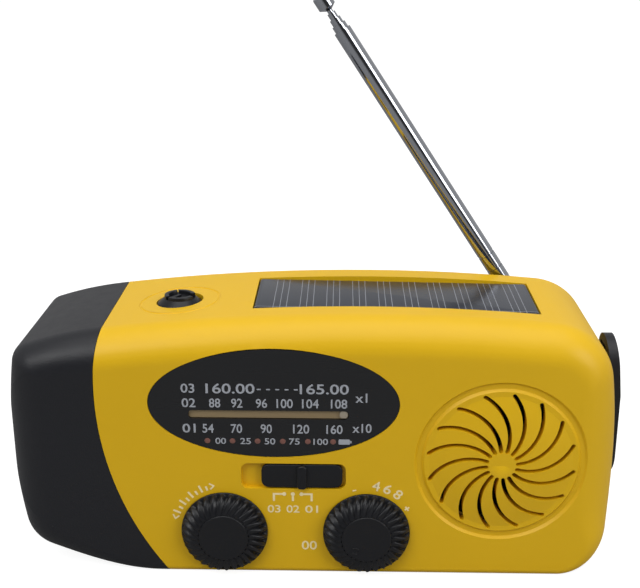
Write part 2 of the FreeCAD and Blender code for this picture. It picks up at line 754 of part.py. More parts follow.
def knobShaft(label, x, length):
    return node(label, rod(label + "_rod", "shaft_radius - 0.02", length, x,
                           FRONT + " - knob_height + 1", "knob_z", "y"))


def tuningCapacitor():
    case = box("capacitor_case", "16", "8.4", "13.6", "tuning_x", "board_y - board_thick / 2 - 4.2", "knob_z - 0.4")
    bush = rod("capacitor_bush", "4.2", "3", "tuning_x", "board_y - board_thick / 2 - 8.4 - 2.9", "knob_z", "y")
    bore = rod("capacitor_bore", "shaft_radius + shaft_gap", "6", "tuning_x", FRONT + " + wall", "knob_z", "y")
    return node("tuning_capacitor", cut("tuning_capacitor_cut", fuse("capacitor_body", case, bush), bore))


def volumeControl():
    case = rod("volume_case", "7.6", "6", "volume_x", "board_y - board_thick / 2 - 6", "knob_z", "y")
    bush = rod("volume_bush", "4.2", "5.3", "volume_x", "board_y - board_thick / 2 - 6 - 5.2", "knob_z", "y")
    bore = rod("volume_bore", "shaft_radius + shaft_gap", "8", "volume_x", FRONT + " + wall", "knob_z", "y")
    return node("volume_control", cut("volume_control_cut", fuse("volume_body", case, bush), bore))


# ---- band switch ---------------------------------------------------------

def bandSlider():
    body = newBody("band_slider")
    sketch = sketchOn(body, "XZ_Plane", "0")
    a, b, r = size("slider_width") / 2, size("slider_height") / 2, size("slider_corner") - 0.2
    k = r * (1 - math.sqrt(0.5))
    for sx, sy in ((1, 1), (-1, 1), (-1, -1), (1, -1)):
        ends = [Vector(sx * a, sy * (b - r), 0), Vector(sx * (a - r), sy * b, 0)]
        if sx * sy < 0:
            ends.reverse()
        sketch.addGeometry(Part.Arc(ends[0], Vector(sx * (a - k), sy * (b - k), 0), ends[1]), False)
        turned = Vector(-ends[1].x, ends[1].y, 0) if sx * sy > 0 else Vector(ends[1].x, -ends[1].y, 0)
        sketch.addGeometry(Part.LineSegment(ends[1], turned), False)
    pad(body, sketch, "switch_recess - slide_gap", False, "plate")
    for name, half, height, grow, away in (("rib", 1.05, b, "1.4", False), ("stem", 1.2, 0.95, "3.2", True)):
        part = sketchOn(body, "XZ_Plane", "0.4" if name == "rib" else "0.2")
        corners = [Vector(-half, -height, 0), Vector(half, -height, 0), Vector(half, height, 0),
                   Vector(-half, height, 0)]
        for i in range(4):
            part.addGeometry(Part.LineSegment(corners[i], corners[(i + 1) % 4]), False)
        pad(body, part, grow, away, name)
    return place(body, "slider_x", FRONT + " + switch_recess - slide_gap", "switch_z")


def bandSwitch():
    case = box("band_switch_case", "17", "board_y - board_thick / 2 + case_depth / 2 - wall - 0.4", "6.4",
               "slider_x - 1.8", "(board_y - board_thick / 2 - case_depth / 2 + wall + 0.4) / 2", "switch_z")
    groove = box("band_switch_groove", "10.4", "4", "2.1", "slider_x - 1.8", FRONT + " + wall + 0.4", "switch_z")
    return node("band_switch", cut("band_switch_cut", case, groove))


# ---- loudspeaker ---------------------------------------------------------

def loudspeaker():
    y = FRONT + " + wall + 0.1"
    flange = rod("speaker_flange", "speaker_radius", "1.2", "speaker_x", y, "speaker_z", "y")
    basket = cone("speaker_basket", "speaker_radius - 1.2", "9", "8", "speaker_x", y + " + 1", "speaker_z", "y")
    hollow = cone("speaker_hollow", "speaker_radius - 2", "8", "7.4", "speaker_x", y + " + 0.9", "speaker_z", "y")
    mouth = rod("speaker_mouth", "speaker_radius - 2", "3", "speaker_x", y + " - 2", "speaker_z", "y")
    node("speaker_frame", cut("speaker_frame_cut", fuse("speaker_metal", flange, basket), hollow, mouth))
    node("speaker_magnet", rod("speaker_magnet_rod", "8.6", "4.6", "speaker_x", y + " + 9", "speaker_z", "y"))
    outer = cone("cone_outer", "speaker_radius - 2.6", "3.4", "5.2", "speaker_x", y + " + 1.4", "speaker_z", "y")
    inner = cone("cone_inner", "speaker_radius - 3.1", "2.9", "5.2", "speaker_x", y + " + 1.3", "speaker_z", "y")
    cap = rod("cone_cap", "3.6", "0.8", "speaker_x", y + " + 5.6", "speaker_z", "y")
    coil = rod("voice_coil", "3", "2.2", "speaker_x", y + " + 6", "speaker_z", "y")
    node("speaker_cone", fuse("speaker_cone_fused", cut("cone_skin", outer, inner), cap, coil))


# ---- top: solar panel, torch button --------------------------------------

def solarPanel():
    gap = size("part_gap")
    return node("solar_panel", panelBlock("solar_panel_plate", size("panel_width") - gap,
                                          size("panel_depth") - gap,
                                          -size("panel_recess") - size("panel_thick"), -size("panel_recess")))


def torchButton():
    top = crownHeight(size("button_x"))
    r = size("button_radius")
    low = top - size("wall") - 1.8
    points = [(0, low - 0.9), (1.6, low - 0.9), (1.6, low), (r + 1.1, low), (r + 1.1, low + 0.7),
              (r, low + 0.7), (r, top + 0.5), (r - 0.6, top + 1.1), (0, top + 1.5)]
    return spun("torch_button", points, "button_x", "button_y", "0", "z")


def torchSwitch():
    top = crownHeight(size("button_x")) - size("wall") - 1.8 - 0.9 - 1.1
    rear = "board_y + board_thick / 2"
    body = box("torch_switch_body", "7", "button_y + 3.5 - (%s)" % rear, "5", "button_x",
               "(button_y + 3.5 + %s) / 2" % rear, str(top - 2.7))
    tip = rod("torch_switch_tip", "1.4", "0.4", "button_x", "button_y", str(top - 0.25))
    return node("torch_switch", fuse("torch_switch_fused", body, tip))


# ---- torch ---------------------------------------------------------------

def torchParts():
    x = "1.95 - case_width / 2"
    node("torch_lens", rod("torch_lens_disc", "lens_radius", "lens_thick", x, "0", "torch_z", "x"))
    outer = cone("reflector_outer", "lens_radius - 0.2", "9", "9", x + " + lens_thick + 0.1", "0", "torch_z", "x")
    inner = cone("reflector_inner", "lens_radius - 1.2", "8", "9.1", x + " + lens_thick", "0", "torch_z", "x")
    back_wall = rod("reflector_back", "9", "1", x + " + lens_thick + 8.6", "0", "torch_z", "x")
    leds, holes = [], []
    for i in range(3):
        y = "%s" % (4.6 * math.cos(math.radians(90 + 120 * i)))
        z = "torch_z + %s" % (4.6 * math.sin(math.radians(90 + 120 * i)))
        holes.append(rod("led_hole_%d" % i, "2.55", "6", x + " + lens_thick + 6", y, z, "x"))
        leds.append(rod("led_%d" % i, "2.5", "4.6", x + " + lens_thick + 5.2", y, z, "x"))
        leds.append(rod("led_rim_%d" % i, "2.5", "0.1", x + " + lens_thick + 9.7", y, z, "x"))
    skin = fuse("reflector_skin", cut("reflector_cone", outer, inner), back_wall)
    node("torch_reflector", cut("torch_reflector_cut", skin, *holes))
    node("torch_leds", fuse("torch_leds_group", *leds))
    node("torch_board", rod("torch_board_disc", "11.5", "1.2", x + " + lens_thick + 9.8", "0", "torch_z", "x"))


# ---- gears and crank -----------------------------------------------------

def involute(teeth, width, turn):
    # a spur gear about the origin, its axis along X; turn is in tooth pitches
    module = size("gear_module")
    pitch = module * teeth / 2
    base = pitch * math.cos(math.radians(20))
    tip, root = pitch + 0.8 * module, pitch - 1.15 * module
    half = (math.pi * module / 2 - size("backlash")) / 2 / pitch

    def inv(r):
        a = math.acos(min(1.0, base / r))
        return math.tan(a) - a

    def offset(r):
        return half + inv(pitch) - inv(max(r, base))

    start = max(root, base)
    radii = [start + (tip - start) * i / 3 for i in range(4)]
    points = []
    for n in range(teeth):
        middle = 2 * math.pi * (n + turn) / teeth
        if root < start:
            points.append((root, middle - offset(start)))
        points += [(r, middle - offset(r)) for r in radii]
        points += [(r, middle + offset(r)) for r in reversed(radii)]
        if root < start:
            points.append((root, middle + offset(start)))
    ring = [Vector(0, r * math.cos(a), r * math.sin(a)) for r, a in points]
    face = Part.Face(Part.makePolygon(ring + [ring[0]]))
    return face.extrude(Vector(width, 0, 0))


CRANK = (size("crank_y"), size("crank_z"))
IDLER_RISE = size("idler_rise")
ROTOR_FALL = size("rotor_fall")
DISTANCE_1 = size("gear_module") * (size("crank_teeth") + size("pinion_teeth")) / 2
DISTANCE_2 = size("gear_module") * (size("idler_teeth") + size("pinion_teeth")) / 2


def polar(centre, distance, degrees):
    a = math.radians(degrees)
    return (centre[0] + distance * math.cos(a), centre[1] + distance * math.sin(a))


IDLER = polar(CRANK, DISTANCE_1, IDLER_RISE)
ROTOR = polar(IDLER, DISTANCE_2, ROTOR_FALL)


def meshTurn(driver_teeth, driver_turn, teeth, degrees):
    # the turn, in tooth pitches, that puts a space of the driven gear on the driver's tooth
    at_driver = (degrees / 360 * driver_teeth - driver_turn) % 1
    at_driven = (degrees + 180) / 360 * teeth
    return at_driven + at_driver - 0.5


def gearX():
    inner = half_width - wall
    return inner - 1.8 - size("gear_width"), inner - 2.8 - 2 * size("gear_width")


CRANK_GEAR_X, WHEEL_X = gearX()


def placedGear(teeth, turn, x, centre, width):
    solid = involute(int(teeth), width, turn)
    solid.translate(Vector(x, centre[0], centre[1]))
    return solid


def gearTrain():
    width = size("gear_width")
    plate_x = WHEEL_X - 4
    r = size("crank_shaft_radius")
    crank_wheel = placedGear(size("crank_teeth"), 0, CRANK_GEAR_X, CRANK, width)
    crank_wheel = crank_wheel.cut(Part.makeCylinder(r - 0.02, 20, Vector(CRANK_GEAR_X - 8, *CRANK), Vector(1, 0, 0)))
    node("crank_gear", feature("crank_gear_solid", crank_wheel))
    turn = meshTurn(size("crank_teeth"), 0, size("pinion_teeth"), IDLER_RISE)
    pinion = placedGear(size("pinion_teeth"), turn, CRANK_GEAR_X - 0.3, IDLER, width + 0.3)
    wheel = placedGear(size("idler_teeth"), 0, WHEEL_X, IDLER, width)
    link = Part.makeCylinder(2.4, CRANK_GEAR_X - WHEEL_X, Vector(WHEEL_X, *IDLER), Vector(1, 0, 0))
    bore = Part.makeCylinder(1 + size("shaft_gap"), 30, Vector(WHEEL_X - 5, *IDLER), Vector(1, 0, 0))
    node("idler_gear", feature("idler_gear_solid", wheel.fuse([pinion, link]).cut(bore)))
    turn = meshTurn(size("idler_teeth"), 0, size("pinion_teeth"), ROTOR_FALL)
    small = placedGear(size("pinion_teeth"), turn, WHEEL_X, ROTOR, width)
    stem = Part.makeCylinder(1, WHEEL_X - plate_x + 8, Vector(plate_x - 8, *ROTOR), Vector(1, 0, 0))
    node("generator_rotor", feature("generator_rotor_solid", small.fuse(stem)))
    # plate that carries the idler pin, the inner end of the crank shaft and the generator
    plate = Part.makeBox(1.6, 27, 25.6, Vector(plate_x, -8, CRANK[1] - 6))
    for centre, radius in ((CRANK, r - 0.5 + size("shaft_gap")), (ROTOR, 2.4)):
        plate = plate.cut(Part.makeCylinder(radius, 10, Vector(plate_x - 4, *centre), Vector(1, 0, 0)))
    pin_length = CRANK_GEAR_X + width + 0.2 - plate_x
    pin = Part.makeCylinder(1, pin_length, Vector(plate_x, *IDLER), Vector(1, 0, 0))
    foot = Part.makeBox(1.6, 8, CRANK[1] - 6 - wall + 0.01, Vector(plate_x, 4, wall))
    node("gear_plate", feature("gear_plate_solid", plate.fuse([pin, foot])))
    can = Part.makeCylinder(size("generator_radius"), size("generator_length"),
                            Vector(plate_x - size("generator_length"), *ROTOR), Vector(1, 0, 0))
    can = can.cut(Part.makeCylinder(1 + size("shaft_gap"), 12, Vector(plate_x - 9, *ROTOR), Vector(1, 0, 0)))
    node("generator", feature("generator_can", can))
    shaft = Part.makeCylinder(r - 0.04, half_width + size("arm_clearance") + 1.5 - WHEEL_X + 0.4,
                              Vector(WHEEL_X - 0.4, *CRANK), Vector(1, 0, 0))
    tail = Part.makeCylinder(r - 0.5, WHEEL_X - plate_x, Vector(plate_x, *CRANK), Vector(1, 0, 0))
    node("crank_shaft", feature("crank_shaft_solid", shaft.fuse(tail)))


def armProfile():
    # side view of the arm: flat over the hub, bending in over the case corner at its tip
    x0 = half_width + size("arm_clearance")
    thick, z0 = size("arm_thick"), CRANK[1]
    reach = size("arm_length")
    inner = [(x0, z0 - 7), (x0, z0 + 15), (x0 - 0.9, z0 + reach)]
    outer = [(x0 + thick - 1.2, z0 + reach), (x0 + thick, z0 + 14), (x0 + thick, z0 - 7)]
    return inner, outer


def crankArm():
    inner, outer = armProfile()
    y0 = CRANK[0] - size("arm_width") / 2

    def at(p):
        return Vector(p[0], y0, p[1])

    edges = [lineEdge(inner[0], inner[1], y0), lineEdge(inner[1], inner[2], y0),
             lineEdge(inner[2], outer[0], y0), lineEdge(outer[0], outer[1], y0),
             lineEdge(outer[1], outer[2], y0), lineEdge(outer[2], inner[0], y0)]
    strip = Part.Face(Part.Wire(edges)).extrude(Vector(0, size("arm_width"), 0))
    r = size("arm_width") / 2
    z1, z2 = CRANK[1], CRANK[1] + size("arm_length") - r
    y = CRANK[0]
    plan = [Part.Arc(Vector(0, y - r, z2), Vector(0, y, z2 + r), Vector(0, y + r, z2)),
            Part.LineSegment(Vector(0, y + r, z2), Vector(0, y + r, z1)),
            Part.Arc(Vector(0, y + r, z1), Vector(0, y, z1 - r), Vector(0, y - r, z1)),
            Part.LineSegment(Vector(0, y - r, z1), Vector(0, y - r, z2))]
    stadium = Part.Face(Part.Wire([e.toShape() for e in plan])).extrude(Vector(2 * half_width, 0, 0))
    arm = strip.common(stadium)
    # window for the folding handle
    window = Part.makeBox(20, 7.4, 18.2, Vector(half_width - 5, y - 3.7, CRANK[1] + 5.4))
    shaft = Part.makeCylinder(size("crank_shaft_radius") - 0.02, 1.5 + size("arm_clearance"),
                              Vector(half_width, *CRANK), Vector(1, 0, 0))
    pin = Part.makeCylinder(0.6, size("arm_width") - 2, Vector(half_width + size("arm_clearance") + 0.95,
                            y - size("arm_width") / 2 + 1, CRANK[1] + 21.4), Vector(0, 1, 0))
    node("crank_arm", feature("crank_arm_solid", arm.cut([window, shaft, pin])))
    node("handle_pin", feature("handle_pin_solid", pin))
    x0 = half_width + size("arm_clearance")
    leaf = Part.makeBox(1.9, 6.8, 17.2, Vector(x0, y - 3.4, CRANK[1] + 5.7))
    eye = Part.makeCylinder(0.95, 6.8, Vector(x0 + 0.95, y - 3.4, CRANK[1] + 21.4), Vector(0, 1, 0))
    trim = Part.makeBox(4, 8, 3, Vector(x0 - 1, y - 4, CRANK[1] + 21.4))
    bore = Part.makeCylinder(0.6 + size("shaft_gap"), 12, Vector(x0 + 0.95, y - 6, CRANK[1] + 21.4),
                             Vector(0, 1, 0))
    node("crank_handle", feature("crank_handle_solid", leaf.cut(trim).fuse(eye).cut(bore)))


# ---- antenna -------------------------------------------------------------

LEAN = math.radians(size("antenna_lean"))
ALONG = Vector(-math.sin(LEAN), 0, math.cos(LEAN))
ACROSS = Vector(math.cos(LEAN), 0, math.sin(LEAN))
PIVOT = Vector(size("antenna_x"), size("antenna_y"), size("antenna_z"))


def onMast(distance):
    return PIVOT + ALONG * distance


def orientedBox(across, deep, along, start, y):
    # a box whose length follows the mast, centred across it
    solid = Part.makeBox(across, deep, along, Vector(-across / 2, 0, 0))
    solid.rotate(Vector(0, 0, 0), Vector(0, 1, 0), -size("antenna_lean"))
    spot = onMast(start)
    solid.translate(Vector(spot.x, y, spot.z))
    return solid


def antenna():
    r = size("antenna_radius")
    wall_y = back - size("ledge_depth")
    drum = Part.makeCylinder(3.3, back - 0.6 - wall_y - 0.25, Vector(PIVOT.x, wall_y + 0.25, PIVOT.z), Vector(0, 1, 0))
    stud = Part.makeCylinder(1.5, wall + 2.2, Vector(PIVOT.x, wall_y - wall - 1.8, PIVOT.z), Vector(0, 1, 0))
    slot = orientedBox(1.9, 10, 12, -2.2, PIVOT.y - 2.0)
    pin = Part.makeCylinder(0.6, 6, PIVOT - ACROSS * 3, ACROSS)
    node("antenna_base", feature("antenna_base_solid", drum.fuse(stud).cut([slot, pin])))
    node("antenna_pin", feature("antenna_pin_solid", pin))
    # first tube with its ferrule and the flat tongue that turns on the pin
    start, end, stagger = size("antenna_start"), size("antenna_end"), size("antenna_stagger")
    tongue = Part.makeCylinder(1.7, 1.6, PIVOT - ACROSS * 0.8, ACROSS)
    blade = orientedBox(1.6, 3.4, start + 0.5, 0, PIVOT.y - 1.7)
    bore = Part.makeCylinder(0.6 + size("shaft_gap"), 8, PIVOT - ACROSS * 4, ACROSS)
    tube = Part.makeCylinder(r, end - start, onMast(start), ALONG)
    grooves = []
    for spot in (7.5, 11.2, 14.9):
        ring = Part.makeCylinder(r + 1, 0.45, onMast(spot), ALONG)
        grooves.append(ring.cut(Part.makeCylinder(r - 0.18, 0.45, onMast(spot), ALONG)))
    step = size("antenna_step")
    inner = Part.makeCylinder(r - step, end, onMast(start + 10.6), ALONG)
    solid = tube.cut(grooves + [inner]).fuse([tongue, blade]).cut(bore)
    node("antenna_tube_1", feature("antenna_tube_1_solid", solid))
    gap = 0.05
    for i in range(2, 6):
        low = start + 10.7 + 0.9 * (i - 2)
        high = end + stagger * (i - 1)
        outer = r - step * (i - 1) - gap
        piece = Part.makeCylinder(outer, high - low, onMast(low), ALONG)
        if i < 5:
            bore = Part.makeCylinder(r - step * i, high, onMast(low + 0.8), ALONG)
            piece = piece.cut(bore)
        node("antenna_tube_%d" % i, feature("antenna_tube_%d_solid" % i, piece))
    high = end + 4 * stagger
    cap = Part.makeCylinder(r, 2.6, onMast(high), ALONG)
    dome = Part.makeCone(r, r * 0.45, 1.2, onMast(high + 2.6), ALONG)
    neck = Part.makeCone(r - 4 * step - gap, r, 0.8, onMast(high - 0.8), ALONG)
    bore = Part.makeCylinder(r - 4 * step - gap, 0.8, onMast(high - 0.8), ALONG)
    node("antenna_tip", feature("antenna_tip_solid", cap.fuse([dome, neck]).cut(bore)))


# ---- inner electrical parts and the back ---------------------------------

def mainBoard():
    board = box("board_plate", "46", "board_thick", "42", "-4", "board_y", "26")
    ear = box("board_ear", "8.5", "board_thick", "6", "-30.5", "board_y", "44")
    feet = [box("board_foot_%d" % i, "4", "3.4", "3", x, "board_y + 1", "wall + 1.5")
            for i, x in enumerate(("-22", "16"))]
    return node("main_board", fuse("main_board_fused", board, ear, *feet))


def ferrite():
    y = "board_y + board_thick / 2 + 6.4"
    node("ferrite_rod", rod("ferrite_rod_bar", "3", "42", "-26", y, "40", "x"))
    sleeve = rod("coil_sleeve", "4", "12", "-8", y, "40", "x")
    node("antenna_coil", cut("antenna_coil_cut", sleeve, rod("coil_bore", "3.02", "14", "-9", y, "40", "x")))
    clips = []
    for i, x in enumerate(("-21", "10")):
        block = box("clip_%d" % i, "3", "9.6", "9", x, "board_y + board_thick / 2 + 4.8 + 0.01", "40")
        clips.append(cut("clip_cut_%d" % i, block, rod("clip_bore_%d" % i, "3.02", "20", x + " - 10", y, "40", "x")))
    node("rod_clips", fuse("rod_clips_group", *clips))


def battery():
    y = BACK + " - wall - 0.6 - battery_thick / 2"
    node("battery", box("battery_cell", "battery_width", "battery_thick", "battery_height - 5", "battery_x", y,
                        "battery_z"))
    shelf = box("battery_shelf", "battery_width + 1.2", "battery_thick + 1.4", "1.4", "battery_x",
                BACK + " - wall - 0.1 - battery_thick / 2 - 0.7", "battery_z - battery_height / 2 + 1.7")
    leg = box("battery_leg", "battery_width", "3", "battery_z - battery_height / 2 + 1.1 - wall", "battery_x",
              BACK + " - wall - 4", "(battery_z - battery_height / 2 + 1.1 + wall) / 2")
    stop = box("battery_stop", "battery_width + 1.2", "1.4", "battery_height - 4", "battery_x",
               BACK + " - wall - battery_thick - 1.5", "battery_z - 0.2")
    node("battery_tray", fuse("battery_tray_fused", shelf, leg, stop))


def batteryDoor():
    body = newBody("battery_door")
    sketch = sketchOn(body, "XZ_Plane")
    a, b = size("door_width") / 2, size("door_height") / 2
    corners = [Vector(-a, -b, 0), Vector(a, -b, 0), Vector(a, b, 0), Vector(-a, b, 0)]
    for i in range(4):
        sketch.addGeometry(Part.LineSegment(corners[i], corners[(i + 1) % 4]), False)
    pad(body, sketch, "1.2", False, "plate")
    return place(body, "battery_x", BACK + " - 0.05", "battery_z")


def sockets():
    shell = box("usb_out_shell", "13.1", "14", "5.5", "34.4", BACK + " - 1.4 - 7", "12.5")
    mouth = box("usb_out_mouth", "12.3", "12.6", "4.7", "34.4", BACK + " - 1.4 - 6.2", "12.5")
    tongue = box("usb_out_tongue", "11", "10", "1.8", "34.4", BACK + " - 1.4 - 8.4", "13.4")
    node("usb_out_socket", fuse("usb_out_fused", cut("usb_out_cut", shell, mouth), tongue))
    small = box("usb_in_shell", "7.5", "6", "2.8", "46", BACK + " - 1.4 - 3", "12.5")
    hole = box("usb_in_mouth", "6.9", "5.4", "2.2", "46", BACK + " - 1.4 - 2.6", "12.5")
    bar = box("usb_in_tongue", "4", "4", "0.8", "46", BACK + " - 1.4 - 3.6", "12.7")
    node("usb_in_socket", fuse("usb_in_fused", cut("usb_in_cut", small, hole), bar))
    board = box("socket_board_plate", "23", "14", "1.4", "38.9", BACK + " - wall - 7.2", "9")
    riser = box("socket_board_riser", "7", "4", "1.6", "46", BACK + " - wall - 2.2", "10.3")
    foot = box("socket_board_rib", "20", "3", "8.4 - wall", "38.9", BACK + " - wall - 12", "(8.4 + wall) / 2")
    node("socket_board", fuse("socket_board_fused", board, riser, foot))


def portCover():
    # the soft lower edge is the round hinge bead
    plate = box("port_cover_plate", "25.4", "1", "8.9", "38.8", BACK + " - 0.65", "12.75")
    bead = rod("port_cover_bead", "0.5", "25.4", "38.8 - 12.7", BACK + " - 0.65", "8.3", "x")
    tab = box("port_cover_tab", "5", "0.8", "2", "38.8", BACK + " - 0.4", "16")
    return node("port_cover", fuse("port_cover_fused", plate, bead, tab))


def caseScrews():
    screws = []
    for i, (x, z) in enumerate(screwPosts()):
        shank = rod("screw_shank_%d" % i, "screw_radius - 0.3", "13", x, BACK + " - 3.1 - 12", z, "y")
        head = rod("screw_head_%d" % i, "screw_radius * 2 - 0.1", "1.6", x, BACK + " - 2.98", z, "y")
        cross = box("screw_cross_%d" % i, "2.6", "1.6", "0.6", x, BACK + " - 1.2", str(z))
        screws.append(cut("screw_%d" % i, fuse("screw_body_%d" % i, shank, head), cross))
    return node("case_screws", fuse("case_screws_group", *screws))


# ---- build and write -----------------------------------------------------

frontShell()
rearShell()
torchHead()
dialWindow()
dialScale()
dialPointer()
dialRail()
indicatorLeds()
knob("tuning_knob", "tuning_x")
knob("volume_knob", "volume_x")
knobShaft("tuning_shaft", "tuning_x", "knob_height - 1 + wall + 5")
knobShaft("volume_shaft", "volume_x", "knob_height - 1 + wall + 6")
tuningCapacitor()
volumeControl()
bandSlider()
bandSwitch()
loudspeaker()
solarPanel()
torchButton()
torchSwitch()
torchParts()
gearTrain()
crankArm()
antenna()
mainBoard()
ferrite()
battery()
batteryDoor()
sockets()
portCover()
caseScrews()

doc.recompute()
faults = [o.Name for o in doc.Objects if "Invalid" in o.State or "Error" in o.State]
for item in nodes:
    if item.Shape.isNull() or not item.Shape.isValid():
        faults.append(item.Label)
if faults:
    raise RuntimeError("failed objects: " + ", ".join(faults))

os.makedirs("parts", exist_ok=True)
for item in nodes:
    item.Shape.exportStep(os.path.join("parts", item.Label + ".step"))
    b = item.Shape.BoundBox
    print("%-18s solids %d  volume %8.1f  x %6.1f %6.1f  y %6.1f %6.1f  z %6.1f %6.1f" % (
        item.Label, len(item.Shape.Solids), item.Shape.Volume, b.XMin, b.XMax, b.YMin, b.YMax, b.ZMin, b.ZMax))
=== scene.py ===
import bpy
import bmesh
import json
import math
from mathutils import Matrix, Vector


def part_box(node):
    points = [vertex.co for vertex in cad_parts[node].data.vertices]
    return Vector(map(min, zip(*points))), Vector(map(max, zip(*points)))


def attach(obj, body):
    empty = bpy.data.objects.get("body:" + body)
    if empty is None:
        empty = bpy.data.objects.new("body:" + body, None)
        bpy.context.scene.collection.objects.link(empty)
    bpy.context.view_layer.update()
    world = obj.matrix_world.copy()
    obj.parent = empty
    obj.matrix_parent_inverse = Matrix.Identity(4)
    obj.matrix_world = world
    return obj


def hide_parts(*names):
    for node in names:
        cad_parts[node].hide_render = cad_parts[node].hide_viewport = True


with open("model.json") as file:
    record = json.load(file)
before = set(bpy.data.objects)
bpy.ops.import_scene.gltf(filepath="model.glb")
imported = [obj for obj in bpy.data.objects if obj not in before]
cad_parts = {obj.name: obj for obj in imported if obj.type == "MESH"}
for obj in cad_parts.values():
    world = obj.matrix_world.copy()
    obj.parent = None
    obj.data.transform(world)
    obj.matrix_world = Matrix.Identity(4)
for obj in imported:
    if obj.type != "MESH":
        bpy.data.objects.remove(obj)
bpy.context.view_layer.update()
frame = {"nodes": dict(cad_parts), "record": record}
mm = 0.001
print("frame loaded:", len(frame["nodes"]), "nodes")


def toLinear(red, green, blue):
    # a colour as it looks on screen, 0 to 255, turned into a material colour
    steps = [c / 255 for c in (red, green, blue)]
    return tuple(c / 12.92 if c <= 0.04045 else ((c + 0.055) / 1.055) ** 2.4 for c in steps) + (1,)


def clearSelection():
    if bpy.context.object and bpy.context.object.mode != "OBJECT":
        bpy.ops.object.mode_set(mode="OBJECT")
    bpy.ops.object.select_all(action="DESELECT")


def editMode(on=True):
    bpy.ops.object.mode_set(mode="EDIT" if on else "OBJECT")


def selectFaces(test):
    # faces chosen by their middle and normal, in edit mode
    bpy.ops.mesh.select_all(action="DESELECT")
    bpy.ops.mesh.select_mode(type="FACE")
    mesh = bmesh.from_edit_mesh(bpy.context.object.data)
    for face in mesh.faces:
        face.select_set(test(face.calc_center_median(), face.normal))
    bmesh.update_edit_mesh(bpy.context.object.data)


def selectEdges(test):
    bpy.ops.mesh.select_all(action="DESELECT")
    bpy.ops.mesh.select_mode(type="EDGE")
    mesh = bmesh.from_edit_mesh(bpy.context.object.data)
    for edge in mesh.edges:
        edge.select_set(test(edge.verts[0].co, edge.verts[1].co))
    bmesh.update_edit_mesh(bpy.context.object.data)


def cleanMesh(weld=0.000002):
    # welds doubles and turns every face outwards
    editMode()
    bpy.ops.mesh.select_mode(type="VERT")
    bpy.ops.mesh.select_all(action="SELECT")
    bpy.ops.mesh.remove_doubles(threshold=weld)
    bpy.ops.mesh.normals_make_consistent(inside=False)
    editMode(False)


def applyAll():
    for modifier in list(bpy.context.object.modifiers):
        bpy.ops.object.modifier_apply(modifier=modifier.name)


def addBlock(place, sides, turn=0):
    clearSelection()
    bpy.ops.mesh.primitive_cube_add(size=1, location=place)
    block = bpy.context.object
    block.scale = sides
    block.rotation_euler = (0, 0, turn)
    bpy.ops.object.transform_apply(location=True, rotation=True, scale=True)
    return block


def finishPiece(piece, name, body, material, smooth=30):
    # place in the mesh, origin at the world's origin, then its body and its finish
    clearSelection()
    piece.select_set(True)
    bpy.context.view_layer.objects.active = piece
    bpy.ops.object.transform_apply(location=True, rotation=True, scale=True)
    if smooth:
        bpy.ops.object.shade_smooth_by_angle(angle=math.radians(smooth))
    piece.name = name
    piece.data.materials.clear()
    piece.data.materials.append(material)
    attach(piece, body)
    return piece


def joinAll(parts):
    clearSelection()
    for part in parts:
        part.select_set(True)
    bpy.context.view_layer.objects.active = parts[0]
    if len(parts) > 1:
        bpy.ops.object.join()
    return bpy.context.object


def newGroup(name, inputs, outputs):
    group = bpy.data.node_groups.new(name, "ShaderNodeTree")
    for label, kind, value in inputs:
        socket = group.interface.new_socket(label, in_out="INPUT", socket_type=kind)
        socket.default_value = value
    for label, kind in outputs:
        group.interface.new_socket(label, in_out="OUTPUT", socket_type=kind)
    return group, group.nodes.new("NodeGroupInput"), group.nodes.new("NodeGroupOutput")


def addNoise(tree, vector, scale, detail=3, rough=0.5):
    noise = tree.nodes.new("ShaderNodeTexNoise")
    tree.links.new(vector, noise.inputs["Vector"])
    if isinstance(scale, (int, float)):
        noise.inputs["Scale"].default_value = scale
    else:
        tree.links.new(scale, noise.inputs["Scale"])
    noise.inputs["Detail"].default_value = detail
    noise.inputs["Roughness"].default_value = rough
    return noise.outputs["Fac"]


def addMath(tree, operation, *values):
    step = tree.nodes.new("ShaderNodeMath")
    step.operation = operation
    for i, value in enumerate(values):
        if isinstance(value, (int, float)):
            step.inputs[i].default_value = value
        else:
            tree.links.new(value, step.inputs[i])
    return step.outputs[0]


def addMix(tree, factor, colourA, colourB, blend="MIX"):
    mix = tree.nodes.new("ShaderNodeMix")
    mix.data_type = "RGBA"
    mix.blend_type = blend
    for socket, value in ((mix.inputs[0], factor), (mix.inputs[6], colourA), (mix.inputs[7], colourB)):
        if isinstance(value, (int, float, tuple)):
            socket.default_value = value
        else:
            tree.links.new(value, socket)
    return mix.outputs[2]


